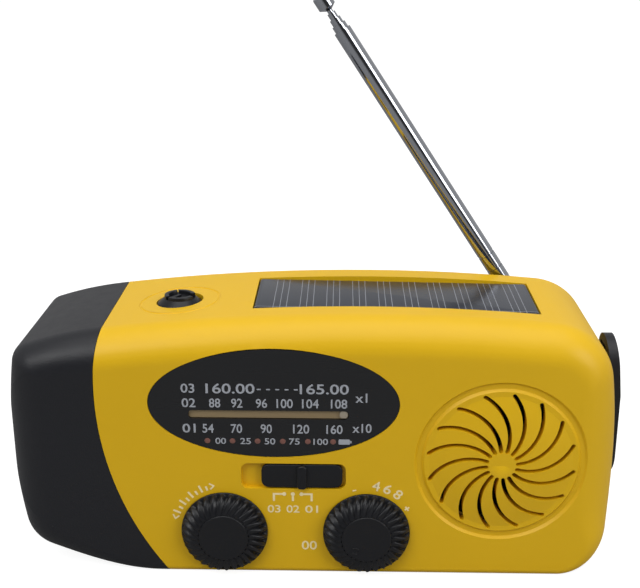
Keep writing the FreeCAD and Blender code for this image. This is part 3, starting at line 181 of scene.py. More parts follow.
def makeMouldedGroup():
    # moulded plastic: fine spark texture, slow colour drift, uneven sheen
    floatKind, colourKind = "NodeSocketFloat", "NodeSocketColor"
    group, start, end = newGroup("mouldedSurface", [
        ("Colour", colourKind, (0.5, 0.5, 0.5, 1)), ("Drift", floatKind, 0.06), ("Grain", floatKind, 3000),
        ("Roughness", floatKind, 0.4), ("Spread", floatKind, 0.08)],
        [("Colour", colourKind), ("Roughness", floatKind), ("Height", floatKind)])
    place = group.nodes.new("ShaderNodeTexCoord").outputs["Object"]
    slow = addNoise(group, place, 35, 2)
    mottle = addNoise(group, place, 420, 3)
    grain = addNoise(group, place, start.outputs["Grain"], 4, 0.6)
    drift = addMath(group, "MULTIPLY", addMath(group, "SUBTRACT", addMath(
        group, "ADD", addMath(group, "MULTIPLY", slow, 0.7), addMath(group, "MULTIPLY", mottle, 0.3)), 0.5),
        start.outputs["Drift"])
    tint = group.nodes.new("ShaderNodeHueSaturation")
    group.links.new(start.outputs["Colour"], tint.inputs["Color"])
    group.links.new(addMath(group, "ADD", 1, addMath(group, "MULTIPLY", drift, 4)), tint.inputs["Value"])
    group.links.new(tint.outputs["Color"], end.inputs["Colour"])
    sheen = addMath(group, "MULTIPLY", addMath(group, "SUBTRACT", mottle, 0.5), start.outputs["Spread"])
    group.links.new(addMath(group, "ADD", start.outputs["Roughness"], sheen), end.inputs["Roughness"])
    group.links.new(grain, end.inputs["Height"])
    return group


def makeScratchGroup():
    # fine handling scratches, as a mask
    floatKind = "NodeSocketFloat"
    group, start, end = newGroup("handlingScratches", [("Scale", floatKind, 60), ("Amount", floatKind, 0.3)],
                                 [("Mask", floatKind)])
    place = group.nodes.new("ShaderNodeTexCoord").outputs["Object"]
    masks = []
    for turn, stretch in ((0.5, 14), (-0.7, 18), (1.3, 22)):
        mapping = group.nodes.new("ShaderNodeMapping")
        mapping.inputs["Rotation"].default_value = (turn, turn * 0.6, turn)
        mapping.inputs["Scale"].default_value = (1, stretch, stretch)
        group.links.new(place, mapping.inputs["Vector"])
        line = addNoise(group, mapping.outputs[0], start.outputs["Scale"], 1, 0.3)
        masks.append(addMath(group, "GREATER_THAN", line, 0.74))
    both = addMath(group, "MAXIMUM", addMath(group, "MAXIMUM", masks[0], masks[1]), masks[2])
    group.links.new(addMath(group, "MULTIPLY", both, start.outputs["Amount"]), end.inputs["Mask"])
    return group


def makeDrawnMetalGroup():
    # drawn or turned metal: streaks along one direction and faint clouding
    floatKind, colourKind, vectorKind = "NodeSocketFloat", "NodeSocketColor", "NodeSocketVector"
    group, start, end = newGroup("drawnMetal", [
        ("Colour", colourKind, (0.6, 0.6, 0.6, 1)), ("Stretch", vectorKind, (1, 1, 1)),
        ("Turn", vectorKind, (0, 0, 0)), ("Streak", floatKind, 0.1), ("Roughness", floatKind, 0.2)],
        [("Colour", colourKind), ("Roughness", floatKind), ("Height", floatKind)])
    mapping = group.nodes.new("ShaderNodeMapping")
    group.links.new(group.nodes.new("ShaderNodeTexCoord").outputs["Object"], mapping.inputs["Vector"])
    group.links.new(start.outputs["Turn"], mapping.inputs["Rotation"])
    group.links.new(start.outputs["Stretch"], mapping.inputs["Scale"])
    streaks = addNoise(group, mapping.outputs[0], 1500, 3, 0.6)
    cloud = addNoise(group, mapping.outputs[0], 90, 2)
    part = addMath(group, "SUBTRACT", addMath(group, "ADD", streaks, cloud), 1)
    tint = group.nodes.new("ShaderNodeHueSaturation")
    group.links.new(start.outputs["Colour"], tint.inputs["Color"])
    group.links.new(addMath(group, "ADD", 1, addMath(group, "MULTIPLY", part, start.outputs["Streak"])),
                    tint.inputs["Value"])
    group.links.new(tint.outputs["Color"], end.inputs["Colour"])
    group.links.new(addMath(group, "ADD", start.outputs["Roughness"],
                            addMath(group, "MULTIPLY", part,
                                    addMath(group, "MULTIPLY", start.outputs["Streak"], 0.5))),
                    end.inputs["Roughness"])
    group.links.new(streaks, end.inputs["Height"])
    return group


mouldedSurface = makeMouldedGroup()
handlingScratches = makeScratchGroup()
drawnMetal = makeDrawnMetalGroup()


def feed(tree, shader, label, value):
    tree.links.new(value, shader.inputs[label])


def newMaterial(name):
    material = bpy.data.materials.new(name)
    material.use_nodes = True
    tree = material.node_tree
    return material, tree, tree.nodes["Principled BSDF"]


def addBump(tree, height, shader, strength, distance=0.0001):
    bump = tree.nodes.new("ShaderNodeBump")
    bump.inputs["Strength"].default_value = strength
    bump.inputs["Distance"].default_value = distance
    tree.links.new(height, bump.inputs["Height"])
    feed(tree, shader, "Normal", bump.outputs["Normal"])


def plastic(name, colour, roughness, grain=3000, bump=0.2, drift=0.06, spread=0.08, specular=0.5, coat=0,
            scratches=0.0):
    material, tree, shader = newMaterial(name)
    surface = tree.nodes.new("ShaderNodeGroup")
    surface.node_tree = mouldedSurface
    for label, value in (("Colour", colour), ("Drift", drift), ("Grain", grain), ("Roughness", roughness),
                         ("Spread", spread)):
        surface.inputs[label].default_value = value
    shader.inputs["Specular IOR Level"].default_value = specular
    shader.inputs["Coat Weight"].default_value = coat
    shader.inputs["Coat Roughness"].default_value = 0.08
    colourOut, roughOut = surface.outputs["Colour"], surface.outputs["Roughness"]
    if scratches:
        marks = tree.nodes.new("ShaderNodeGroup")
        marks.node_tree = handlingScratches
        marks.inputs["Amount"].default_value = scratches
        roughOut = addMath(tree, "ADD", roughOut, marks.outputs["Mask"])
    feed(tree, shader, "Base Color", colourOut)
    feed(tree, shader, "Roughness", roughOut)
    addBump(tree, surface.outputs["Height"], shader, bump)
    return material


def metal(name, colour, roughness, stretch=(1, 1, 1), turn=(0, 0, 0), streak=0.12, bump=0.05):
    material, tree, shader = newMaterial(name)
    surface = tree.nodes.new("ShaderNodeGroup")
    surface.node_tree = drawnMetal
    for label, value in (("Colour", colour), ("Stretch", stretch), ("Turn", turn), ("Streak", streak),
                         ("Roughness", roughness)):
        surface.inputs[label].default_value = value
    shader.inputs["Metallic"].default_value = 1
    feed(tree, shader, "Base Color", surface.outputs["Colour"])
    feed(tree, shader, "Roughness", surface.outputs["Roughness"])
    addBump(tree, surface.outputs["Height"], shader, bump, 0.00002)
    return material


lean = math.radians(33.6)    # the mast's lean, for streaks that run along it

yellowCase = plastic("yellowCase", toLinear(228, 182, 18), 0.42, grain=2600, bump=0.22, drift=0.02, spread=0.06,
                     specular=0.35)
blackCase = plastic("blackCase", toLinear(26, 27, 32), 0.42, grain=2600, bump=0.35, drift=0.05, spread=0.1,
                    specular=0.4)
knobBlack = plastic("knobBlack", toLinear(21, 22, 26), 0.34, grain=3500, bump=0.25, drift=0.05, spread=0.1,
                    specular=0.35)
dialBlack = plastic("dialBlack", toLinear(19, 20, 23), 0.22, grain=900, bump=0.02, drift=0.04, spread=0.05,
                    scratches=0.12)
dialStrip = plastic("dialStrip", toLinear(150, 130, 96), 0.5, grain=1800, bump=0.12, drift=0.05)
pointerPale = plastic("pointerPale", toLinear(158, 148, 132), 0.4, grain=1800, bump=0.1, drift=0.03)
innerPlastic = plastic("innerPlastic", toLinear(52, 52, 55), 0.5, grain=2200, bump=0.3)
coverRubber = plastic("coverRubber", toLinear(44, 44, 48), 0.62, grain=1600, bump=0.45, specular=0.35)
gearPlastic = plastic("gearPlastic", toLinear(226, 222, 208), 0.42, grain=2600, bump=0.12)
printWhite = plastic("printWhite", toLinear(168, 172, 180), 0.5, grain=5000, bump=0.2, drift=0.04)
printCream = plastic("printCream", toLinear(250, 232, 180), 0.5, grain=5000, bump=0.2, drift=0.04)
steelPlate = metal("steelPlate", toLinear(176, 178, 182), 0.32, (1, 0.05, 1))
magnetGrey = metal("magnetGrey", toLinear(96, 96, 100), 0.5, (1, 1, 1), streak=0.2, bump=0.3)
copperWire = metal("copperWire", toLinear(196, 116, 66), 0.34, (0.05, 1, 1), streak=0.3, bump=0.4)
antennaChrome = metal("antennaChrome", toLinear(176, 179, 186), 0.07, (1, 1, 0.03), (0, lean, 0), streak=0.1,
                      bump=0.02)
mirrorChrome = metal("mirrorChrome", toLinear(224, 225, 228), 0.05, (1, 1, 1), streak=0.05, bump=0.02)
print("shared finishes made")


def makeIndicator():
    # smoked red lamp ends
    material, tree, shader = newMaterial("indicatorLamp")
    surface = tree.nodes.new("ShaderNodeGroup")
    surface.node_tree = mouldedSurface
    surface.inputs["Colour"].default_value = toLinear(128, 86, 76)
    surface.inputs["Roughness"].default_value = 0.28
    surface.inputs["Drift"].default_value = 0.12
    feed(tree, shader, "Base Color", surface.outputs["Colour"])
    feed(tree, shader, "Roughness", surface.outputs["Roughness"])
    return material


def makeSpeakerPaper():
    # pressed paper pulp with fibres
    material, tree, shader = newMaterial("speakerPaper")
    place = tree.nodes.new("ShaderNodeTexCoord").outputs["Object"]
    mapping = tree.nodes.new("ShaderNodeMapping")
    mapping.inputs["Scale"].default_value = (1, 1, 3)
    tree.links.new(place, mapping.inputs["Vector"])
    fibres = addNoise(tree, mapping.outputs[0], 1400, 5, 0.7)
    feed(tree, shader, "Base Color", addMix(tree, fibres, toLinear(22, 22, 24), toLinear(50, 49, 50)))
    feed(tree, shader, "Roughness", addMath(tree, "ADD", 0.7, addMath(tree, "MULTIPLY", fibres, 0.2)))
    addBump(tree, fibres, shader, 0.6, 0.0002)
    return material


def makeBoard():
    # green solder resist with paler copper runs under it
    material, tree, shader = newMaterial("boardGreen")
    place = tree.nodes.new("ShaderNodeTexCoord").outputs["Object"]
    runs = tree.nodes.new("ShaderNodeTexBrick")
    runs.inputs["Scale"].default_value = 260
    runs.inputs["Mortar Size"].default_value = 0.09
    mapping = tree.nodes.new("ShaderNodeMapping")
    mapping.inputs["Rotation"].default_value = (math.radians(90), 0, 0)
    tree.links.new(place, mapping.inputs["Vector"])
    tree.links.new(mapping.outputs[0], runs.inputs["Vector"])
    runs.inputs["Color1"].default_value = toLinear(22, 92, 56)
    runs.inputs["Color2"].default_value = toLinear(26, 102, 62)
    runs.inputs["Mortar"].default_value = toLinear(58, 136, 84)
    feed(tree, shader, "Base Color", runs.outputs["Color"])
    rough = addNoise(tree, place, 500, 3)
    feed(tree, shader, "Roughness", addMath(tree, "ADD", 0.3, addMath(tree, "MULTIPLY", rough, 0.2)))
    addBump(tree, runs.outputs["Fac"], shader, 0.3, 0.0001)
    return material


def makeBatteryWrap():
    # shrink wrap: blue sleeve with a pale band and tight creases
    material, tree, shader = newMaterial("batteryWrap")
    place = tree.nodes.new("ShaderNodeTexCoord").outputs["Object"]
    parts = tree.nodes.new("ShaderNodeSeparateXYZ")
    tree.links.new(place, parts.inputs[0])
    band = addMath(tree, "GREATER_THAN", parts.outputs["X"], 0.0165)
    creases = addNoise(tree, place, 240, 5, 0.65)
    feed(tree, shader, "Base Color", addMix(tree, band, toLinear(34, 74, 140), toLinear(206, 208, 210)))
    feed(tree, shader, "Roughness", addMath(tree, "ADD", 0.22, addMath(tree, "MULTIPLY", creases, 0.2)))
    addBump(tree, creases, shader, 0.35, 0.0004)
    return material


def makeSolar():
    # slate-blue cells under clear resin, with fine pale wires in threes across them
    wires = {"pitch": 5.55, "gap": 1.36, "width": 0.12, "start": -8.4, "bus": 8.85, "busWidth": 0.25}
    material, tree, shader = newMaterial("solarCells")
    place = tree.nodes.new("ShaderNodeTexCoord").outputs["Object"]
    parts = tree.nodes.new("ShaderNodeSeparateXYZ")
    tree.links.new(place, parts.inputs[0])
    wobble = addMath(tree, "MULTIPLY", addMath(tree, "SUBTRACT", addNoise(tree, place, 160, 2), 0.5), 0.00012)
    across = addMath(tree, "ADD", parts.outputs["X"], wobble)
    line = None
    for i in range(3):
        start = (wires["start"] + wires["gap"] * i) * mm
        phase = addMath(tree, "PINGPONG", addMath(tree, "SUBTRACT", across, start), wires["pitch"] * mm / 2)
        near = addMath(tree, "LESS_THAN", phase, wires["width"] * mm / 2)
        line = near if line is None else addMath(tree, "MAXIMUM", line, near)
    inside = addMath(tree, "MULTIPLY", addMath(tree, "LESS_THAN", parts.outputs["X"], 0.0466),
                     addMath(tree, "GREATER_THAN", parts.outputs["X"], -0.0105))
    line = addMath(tree, "MULTIPLY", line, inside)
    fromBus = addMath(tree, "ABSOLUTE", addMath(tree, "ADD", parts.outputs["Y"], wires["bus"] * mm))
    bus = addMath(tree, "LESS_THAN", fromBus, wires["busWidth"] * mm / 2)
    line = addMath(tree, "MAXIMUM", line, addMath(tree, "MULTIPLY", bus, 0.7))
    crystal = addNoise(tree, place, 900, 4, 0.6)
    cells = addMix(tree, crystal, toLinear(33, 36, 43), toLinear(46, 50, 58))
    cloud = addMath(tree, "MULTIPLY", addNoise(tree, place, 55, 2), 0.4)
    patches = addMix(tree, cloud, cells, toLinear(62, 67, 80))
    feed(tree, shader, "Base Color", addMix(tree, line, patches, toLinear(142, 145, 152)))
    feed(tree, shader, "Roughness", addMath(tree, "ADD", 0.2, addMath(tree, "MULTIPLY", crystal, 0.08)))
    shader.inputs["Specular IOR Level"].default_value = 0.22
    shader.inputs["Coat Weight"].default_value = 0.12
    shader.inputs["Coat Roughness"].default_value = 0.2
    addBump(tree, addNoise(tree, place, 120, 2), shader, 0.15, 0.0002)
    return material


def makeClearLens():
    # clear moulded lens; faint flow lines only
    material, tree, shader = newMaterial("clearLens")
    shader.inputs["Base Color"].default_value = (0.96, 0.98, 1, 1)
    shader.inputs["Transmission Weight"].default_value = 1
    shader.inputs["IOR"].default_value = 1.49
    place = tree.nodes.new("ShaderNodeTexCoord").outputs["Object"]
    flow = addNoise(tree, place, 80, 2)
    feed(tree, shader, "Roughness", addMath(tree, "MULTIPLY", flow, 0.06))
    addBump(tree, flow, shader, 0.1, 0.0001)
    return material


def makeLed():
    # water-clear lamp with a warm phosphor core seen through it
    material, tree, shader = newMaterial("ledClear")
    place = tree.nodes.new("ShaderNodeTexCoord").outputs["Object"]
    cloud = addNoise(tree, place, 600, 3)
    feed(tree, shader, "Base Color", addMix(tree, cloud, toLinear(240, 236, 200), toLinear(226, 226, 216)))
    feed(tree, shader, "Roughness", addMath(tree, "MULTIPLY", cloud, 0.2))
    shader.inputs["Coat Weight"].default_value = 1
    return material


finishes = {
    "yellow_case": yellowCase, "black_case": blackCase, "knob_black": knobBlack, "dial_black": dialBlack,
    "dial_strip": dialStrip, "pointer": pointerPale, "indicator": makeIndicator(),
    "inner_plastic": innerPlastic, "steel": steelPlate, "chrome": antennaChrome, "magnet": magnetGrey,
    "speaker_paper": makeSpeakerPaper(), "solar_cell": makeSolar(), "clear_lens": makeClearLens(),
    "mirror_chrome": mirrorChrome, "led_clear": makeLed(), "board_green": makeBoard(),
    "gear_plastic": gearPlastic, "copper": copperWire, "battery_wrap": makeBatteryWrap(),
    "cover_rubber": coverRubber}

slotOf = {part["node"]: part["material_slot"] for part in frame["record"]["subparts"]}
for name, item in frame["nodes"].items():
    item.data.materials.clear()
    item.data.materials.append(finishes[slotOf[name]])
print("every frame node has its finish")


knobSizes = {"ridges": 30, "twist": 11, "skirt": 9.1, "skirtHigh": 0.4, "face": 5.15, "faceHigh": 3.08,
             # ring radius, height and tooth depth, from the skirt up to the face
             "rings": [(9.0, 0.42, 0.3), (9.0, 0.55, 0.9), (8.9, 1.1, 1.05), (8.5, 1.7, 1.1),
                       (7.95, 2.15, 1.1), (7.25, 2.5, 1.05), (6.5, 2.75, 0.95), (5.85, 2.9, 0.8),
                       (5.4, 2.92, 0.45), (5.25, 2.75, 0.1)],
             "saw": [0.0, 0.05, 0.35, 1.0, 1.0, 0.45]}


def ribbedKnob(name, node, body, mark=None):
    # a circle drawn up ring by ring into a dome; each ring is turned a little, so the ridges spiral
    low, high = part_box(node)
    middle = Vector(((low[0] + high[0]) / 2, high[1], (low[2] + high[2]) / 2))
    saw, rings = knobSizes["saw"], knobSizes["rings"]
    count = knobSizes["ridges"] * len(saw)
    clearSelection()
    bpy.ops.mesh.primitive_circle_add(vertices=count, radius=knobSizes["skirt"] * mm, location=middle,
                                      rotation=(math.pi / 2, 0, 0))
    bpy.ops.object.transform_apply(location=True, rotation=True, scale=True)
    knob = bpy.context.object
    editMode()
    bpy.ops.mesh.select_all(action="SELECT")
    angles = {}

    def nextRing(height, radiusAt, turn):
        bpy.ops.mesh.extrude_region_move(TRANSFORM_OT_translate={"value": (0, -0.0001, 0)})
        mesh = bmesh.from_edit_mesh(knob.data)
        ring = sorted((p for p in mesh.verts if p.select), key=lambda p: p.index)
        for k, point in enumerate(ring):
            if k not in angles:
                angles[k] = math.atan2(point.co.z - middle.z, point.co.x - middle.x)
            radius, angle = radiusAt(k) * mm, angles[k] + turn
            point.co = middle + Vector((radius * math.cos(angle), -height * mm, radius * math.sin(angle)))
        bmesh.update_edit_mesh(knob.data)

    nextRing(knobSizes["skirtHigh"] * 0.7, lambda k: knobSizes["skirt"], 0)
    nextRing(knobSizes["skirtHigh"], lambda k: knobSizes["skirt"] - 0.1, 0)
    outer = rings[0][0]
    for radius, height, depth in rings:
        turn = math.radians(knobSizes["twist"]) * ((outer - radius) / (outer - knobSizes["face"])) ** 0.8
        nextRing(height, lambda k: radius - depth * saw[k % len(saw)], turn)
    last = math.radians(knobSizes["twist"])
    face, top = knobSizes["face"], knobSizes["faceHigh"]
    for radius, height in ((face, top - 0.08), (face - 0.1, top), (face - 0.3, top), (face - 0.7, top - 0.05),
                           (face * 0.5, top - 0.12)):
        nextRing(height, lambda k: radius, last)
    bpy.ops.mesh.edge_face_add()
    selectEdges(lambda a, b: abs(a.y - middle.y) < 1e-6 and abs(b.y - middle.y) < 1e-6)
    bpy.ops.mesh.edge_face_add()
    editMode(False)
    cleanMesh()
    parts = [knob]
    if mark:
        spot = (middle.x + mark[0] * mm, middle.y - (top - 0.08) * mm, middle.z + mark[1] * mm)
        clearSelection()
        bpy.ops.mesh.primitive_torus_add(major_radius=0.72 * mm, minor_radius=0.13 * mm, major_segments=32,
                                         minor_segments=8, location=spot, rotation=(math.pi / 2, 0, 0))
        parts.append(bpy.context.object)
    knob = joinAll(parts)
    finishPiece(knob, name, body, knobBlack, 48)
    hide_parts(node)
    return knob


ribbedKnob("tuningKnobRibbed", "tuning_knob", "tuning")
ribbedKnob("volumeKnobRibbed", "volume_knob", "volume", mark=(-2.3, -2.7))
print("knobs made")


buttonSizes = {"rim": 4.8, "top": 3.45, "rise": 1.15, "wallOut": 3.3, "wallIn": 2.35, "wallHigh": 0.75,
               "wallSunk": 0.25, "bar": (0.75, 3.6, 0.6), "barTurn": -32,
               "skirt": 4.3, "gaps": [(78, 104), (196, 214), (318, 334)]}


def torchButton():
    low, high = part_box("torch_button")
    middle = ((low[0] + high[0]) / 2, (low[1] + high[1]) / 2, high[2] - 2.0 * mm)
    rim, top, rise = buttonSizes["rim"] * mm, buttonSizes["top"] * mm, buttonSizes["rise"] * mm
    clearSelection()
    bpy.ops.mesh.primitive_circle_add(vertices=72, radius=rim, fill_type="NGON",
                                      location=(middle[0], middle[1], middle[2] - buttonSizes["skirt"] * mm))
    cap = bpy.context.object
    bpy.ops.object.transform_apply(location=True)
    editMode()
    bpy.ops.mesh.select_all(action="SELECT")
    for lift, share in ((buttonSizes["skirt"], 1), (0.12, 0.985),
                        (buttonSizes["rise"] * 0.9, top / rim / 0.985),
                        (0.08, 0.97), (-0.12, 0.88), (0, 0.5)):
        bpy.ops.mesh.extrude_region_move(TRANSFORM_OT_translate={"value": (0, 0, lift * mm)})
        bpy.ops.transform.resize(value=(share, share, 1), center_override=middle)
    editMode(False)
    cleanMesh()
    parts = [cap]
    # broken raised ring: a tube cut into arcs, each one a bevelled block bent by its own points
    base = middle[2] + rise
    marks = sorted(buttonSizes["gaps"])
    sunk = buttonSizes["wallSunk"]
    for i, mark in enumerate(marks):
        begin, finish = mark[1], marks[(i + 1) % len(marks)][0] + (360 if i == len(marks) - 1 else 0)
        parts.append(arcWall(middle[0], middle[1], base - sunk * mm, buttonSizes["wallIn"] * mm,
                             buttonSizes["wallOut"] * mm, (buttonSizes["wallHigh"] + sunk) * mm, begin, finish))
    # straight bar from the middle to the front left
    bar = addBlock((middle[0] - 1.0 * mm, middle[1] - 0.5 * mm, base + 0.12 * mm),
                   [side * mm for side in buttonSizes["bar"]], math.radians(buttonSizes["barTurn"]))
    bevel = bar.modifiers.new("Bevel", "BEVEL")
    bevel.width, bevel.segments = 0.12 * mm, 2
    applyAll()
    parts.append(bar)
    cap = joinAll(parts)
    finishPiece(cap, "torchButtonCap", "button", knobBlack, 35)
    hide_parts("torch_button")


def arcWall(x, y, z, inner, outer, height, begin, finish):
    # a short block swept round a centre with the spin tool
    clearSelection()
    bpy.ops.mesh.primitive_plane_add(size=1, location=(0, 0, 0), rotation=(math.pi / 2, 0, 0))
    wall = bpy.context.object
    wall.scale = (outer - inner, height, 1)
    bpy.ops.object.transform_apply(rotation=True, scale=True)
    wall.location = (x + (outer + inner) / 2, y, z + height / 2)
    bpy.ops.object.transform_apply(location=True)
    wall.rotation_euler = (0, 0, 0)
    editMode()
    selectEdges(lambda a, b: a.z > z + height * 0.9 and b.z > z + height * 0.9)
    bpy.ops.mesh.bevel(offset=0.15 * mm, segments=2, affect="VERTICES")
    bpy.ops.mesh.select_all(action="SELECT")
    steps = max(6, int((finish - begin) / 6))
    bpy.ops.mesh.spin(steps=steps, angle=math.radians(finish - begin), center=(x, y, z), axis=(0, 0, 1))
    editMode(False)
    mesh = wall.data
    turnPoints(mesh, x, y, math.radians(begin))
    # close the starting end
    clearSelection()
    wall.select_set(True)
    bpy.context.view_layer.objects.active = wall
    editMode()
    bpy.ops.mesh.select_all(action="SELECT")
    bpy.ops.mesh.remove_doubles(threshold=0.000001)
    bpy.ops.mesh.select_all(action="DESELECT")
    bpy.ops.mesh.select_mode(type="EDGE")
    bpy.ops.mesh.select_non_manifold(extend=False)
    bpy.ops.mesh.edge_face_add()
    editMode(False)
    cleanMesh()
    return wall


def turnPoints(mesh, x, y, angle):
    cosine, sine = math.cos(angle), math.sin(angle)
    for point in mesh.vertices:
        dx, dy = point.co.x - x, point.co.y - y
        point.co.x, point.co.y = x + dx * cosine - dy * sine, y + dx * sine + dy * cosine


torchButton()
print("torch button made")


panelSizes = {"thick": 1.6, "corner": 0.9, "lip": 0.55}


def solarPanel():
    low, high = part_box("solar_panel")
    span = high - low
    tilt = math.asin((span[2] - panelSizes["thick"] * mm) / span[0])
    clearSelection()
    bpy.ops.mesh.primitive_cube_add(size=1, location=(low + high) / 2)
    panel = bpy.context.object
    panel.scale = (span[0] * 0.9985, span[1] * 0.995, panelSizes["thick"] * mm)
    bpy.ops.object.transform_apply(location=False, rotation=False, scale=True)
    editMode()
    selectEdges(lambda a, b: abs(a.x - b.x) < 1e-7 and abs(a.y - b.y) < 1e-7)
    bpy.ops.mesh.bevel(offset=panelSizes["corner"] * mm, segments=6)
    selectFaces(lambda centre, normal: normal.z > 0.9)
    # the resin is poured: its edge rolls down in three steps
    bpy.ops.mesh.inset(thickness=0.06 * mm, depth=0)
    top = panelSizes["thick"] * mm / 2
    for point in bmesh.from_edit_mesh(panel.data).verts:
        if point.co.z > top * 0.9 and not point.select:
            point.co.z = top - panelSizes["lip"] * mm
        elif point.select:
            point.co.z = top - panelSizes["lip"] * 0.62 * mm
    for thickness, height in ((0.16, 0.34), (0.24, 0.14), (0.34, 0.0)):
        bpy.ops.mesh.inset(thickness=thickness * mm, depth=0)
        for point in bmesh.from_edit_mesh(panel.data).verts:
            if point.select:
                point.co.z = top - panelSizes["lip"] * height * mm
    bmesh.update_edit_mesh(panel.data)
    editMode(False)
    panel.rotation_euler = (0, tilt, 0)
    finishPiece(panel, "solarPanelCells", "case", finishes["solar_cell"], 50)
    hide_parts("solar_panel")


solarPanel()
print("solar panel made")


sliderSizes = {"corner": 1.55, "edge": 0.22, "sunk": 0.65, "plate": 0.9, "ribWidth": 2.1, "ribDepth": 1.1,
               "ribHeight": 5.3, "ribCorner": 0.85, "stemWidth": 2.4, "stemHeight": 1.9}


def bandSlider():
    low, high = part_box("band_slider")
    face = low[1] + sliderSizes["sunk"] * mm
    depth = sliderSizes["plate"] * mm
    x, z = (low[0] + high[0]) / 2, (low[2] + high[2]) / 2
    plate = addBlock((x, face + depth / 2, z), (high[0] - low[0], depth, high[2] - low[2]))
    editMode()
    selectEdges(lambda a, b: abs(a.x - b.x) < 1e-7 and abs(a.z - b.z) < 1e-7)
    bpy.ops.mesh.bevel(offset=sliderSizes["corner"] * mm, segments=8)
    editMode(False)
    soft = plate.modifiers.new("Edge", "BEVEL")
    soft.width, soft.segments, soft.angle_limit = sliderSizes["edge"] * mm, 3, math.radians(50)
    applyAll()
    # raised grip rib
    rib = addBlock((x, face - 0.1 * mm, z - 0.1 * mm),
                   (sliderSizes["ribWidth"] * mm, sliderSizes["ribDepth"] * mm, sliderSizes["ribHeight"] * mm))
    editMode()
    selectEdges(lambda a, b: abs(a.x - b.x) < 1e-7 and abs(a.z - b.z) < 1e-7)
    bpy.ops.mesh.bevel(offset=sliderSizes["ribCorner"] * mm, segments=6)
    selectFaces(lambda centre, normal: normal.y < -0.9)
    bpy.ops.mesh.inset(thickness=0.2 * mm, depth=0)
    bpy.ops.transform.translate(value=(0, -0.1 * mm, 0))
    editMode(False)
    soft = rib.modifiers.new("Edge", "BEVEL")
    soft.width, soft.segments, soft.angle_limit = 0.18 * mm, 3, math.radians(40)
    applyAll()
    # the stem through the slot
    stem = addBlock((x, (face + high[1]) / 2, z),
                    (sliderSizes["stemWidth"] * mm, high[1] - face - 0.3 * mm, sliderSizes["stemHeight"] * mm))
    soft = stem.modifiers.new("Edge", "BEVEL")
    soft.width, soft.segments = 0.2 * mm, 2
    applyAll()
    slider = joinAll([plate, rib, stem])
    finishPiece(slider, "bandSliderGrip", "band", knobBlack, 40)
    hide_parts("band_slider")


bandSlider()
print("band slider made")


printSizes = {"thick": 0.02, "lift": 0.015, "bold": 0.000035}
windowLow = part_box("dial_window")[0]


def printedText(words, x, z, width, height, surface, turn=0):
    # numbers cut as thin raised ink, fitted to a width and height
    clearSelection()
    bpy.ops.object.text_add(location=(0, 0, 0))
    text = bpy.context.object
    text.data.body = words
    text.data.size = 0.003
    text.data.extrude = printSizes["thick"] * mm / 2
    text.data.offset = printSizes["bold"]
    text.data.resolution_u = 4
    bpy.ops.object.convert(target="MESH")
    text = bpy.context.object
    xs, ys = [p.co.x for p in text.data.vertices], [p.co.y for p in text.data.vertices]
    centre = ((min(xs) + max(xs)) / 2, (min(ys) + max(ys)) / 2)
    scaleX = width * mm / (max(xs) - min(xs)) if width else height * mm / (max(ys) - min(ys)) * 0.82
    scaleY = height * mm / (max(ys) - min(ys)) if height else scaleX
    for p in text.data.vertices:
        px, py, pz = (p.co.x - centre[0]) * scaleX, (p.co.y - centre[1]) * scaleY, p.co.z
        rx, rz = px * math.cos(turn) - py * math.sin(turn), px * math.sin(turn) + py * math.cos(turn)
        p.co = (x * mm + rx, surface - (printSizes["lift"] + printSizes["thick"] / 2) * mm - pz, z * mm + rz)
    cleanMesh(0.0000005)
    return text


def printedBlock(x, z, width, height, surface, turn=0, corner=0.3, level=0):
    # a bar or dot of ink with round corners
    clearSelection()
    bpy.ops.mesh.primitive_cube_add(size=1, location=(0, 0, 0))
    bar = bpy.context.object
    bar.scale = (width * mm, printSizes["thick"] * mm, height * mm)
    bpy.ops.object.transform_apply(scale=True)
    editMode()
    selectEdges(lambda a, b: abs(a.x - b.x) < 1e-9 and abs(a.z - b.z) < 1e-9)
    bpy.ops.mesh.bevel(offset=min(width, height) * corner * mm, segments=4)
    editMode(False)
    bar.location = (x * mm, surface - (printSizes["lift"] + level + printSizes["thick"] / 2) * mm, z * mm)
    bar.rotation_euler = (0, -turn, 0)
    bpy.ops.object.transform_apply(location=True, rotation=True)
    return bar


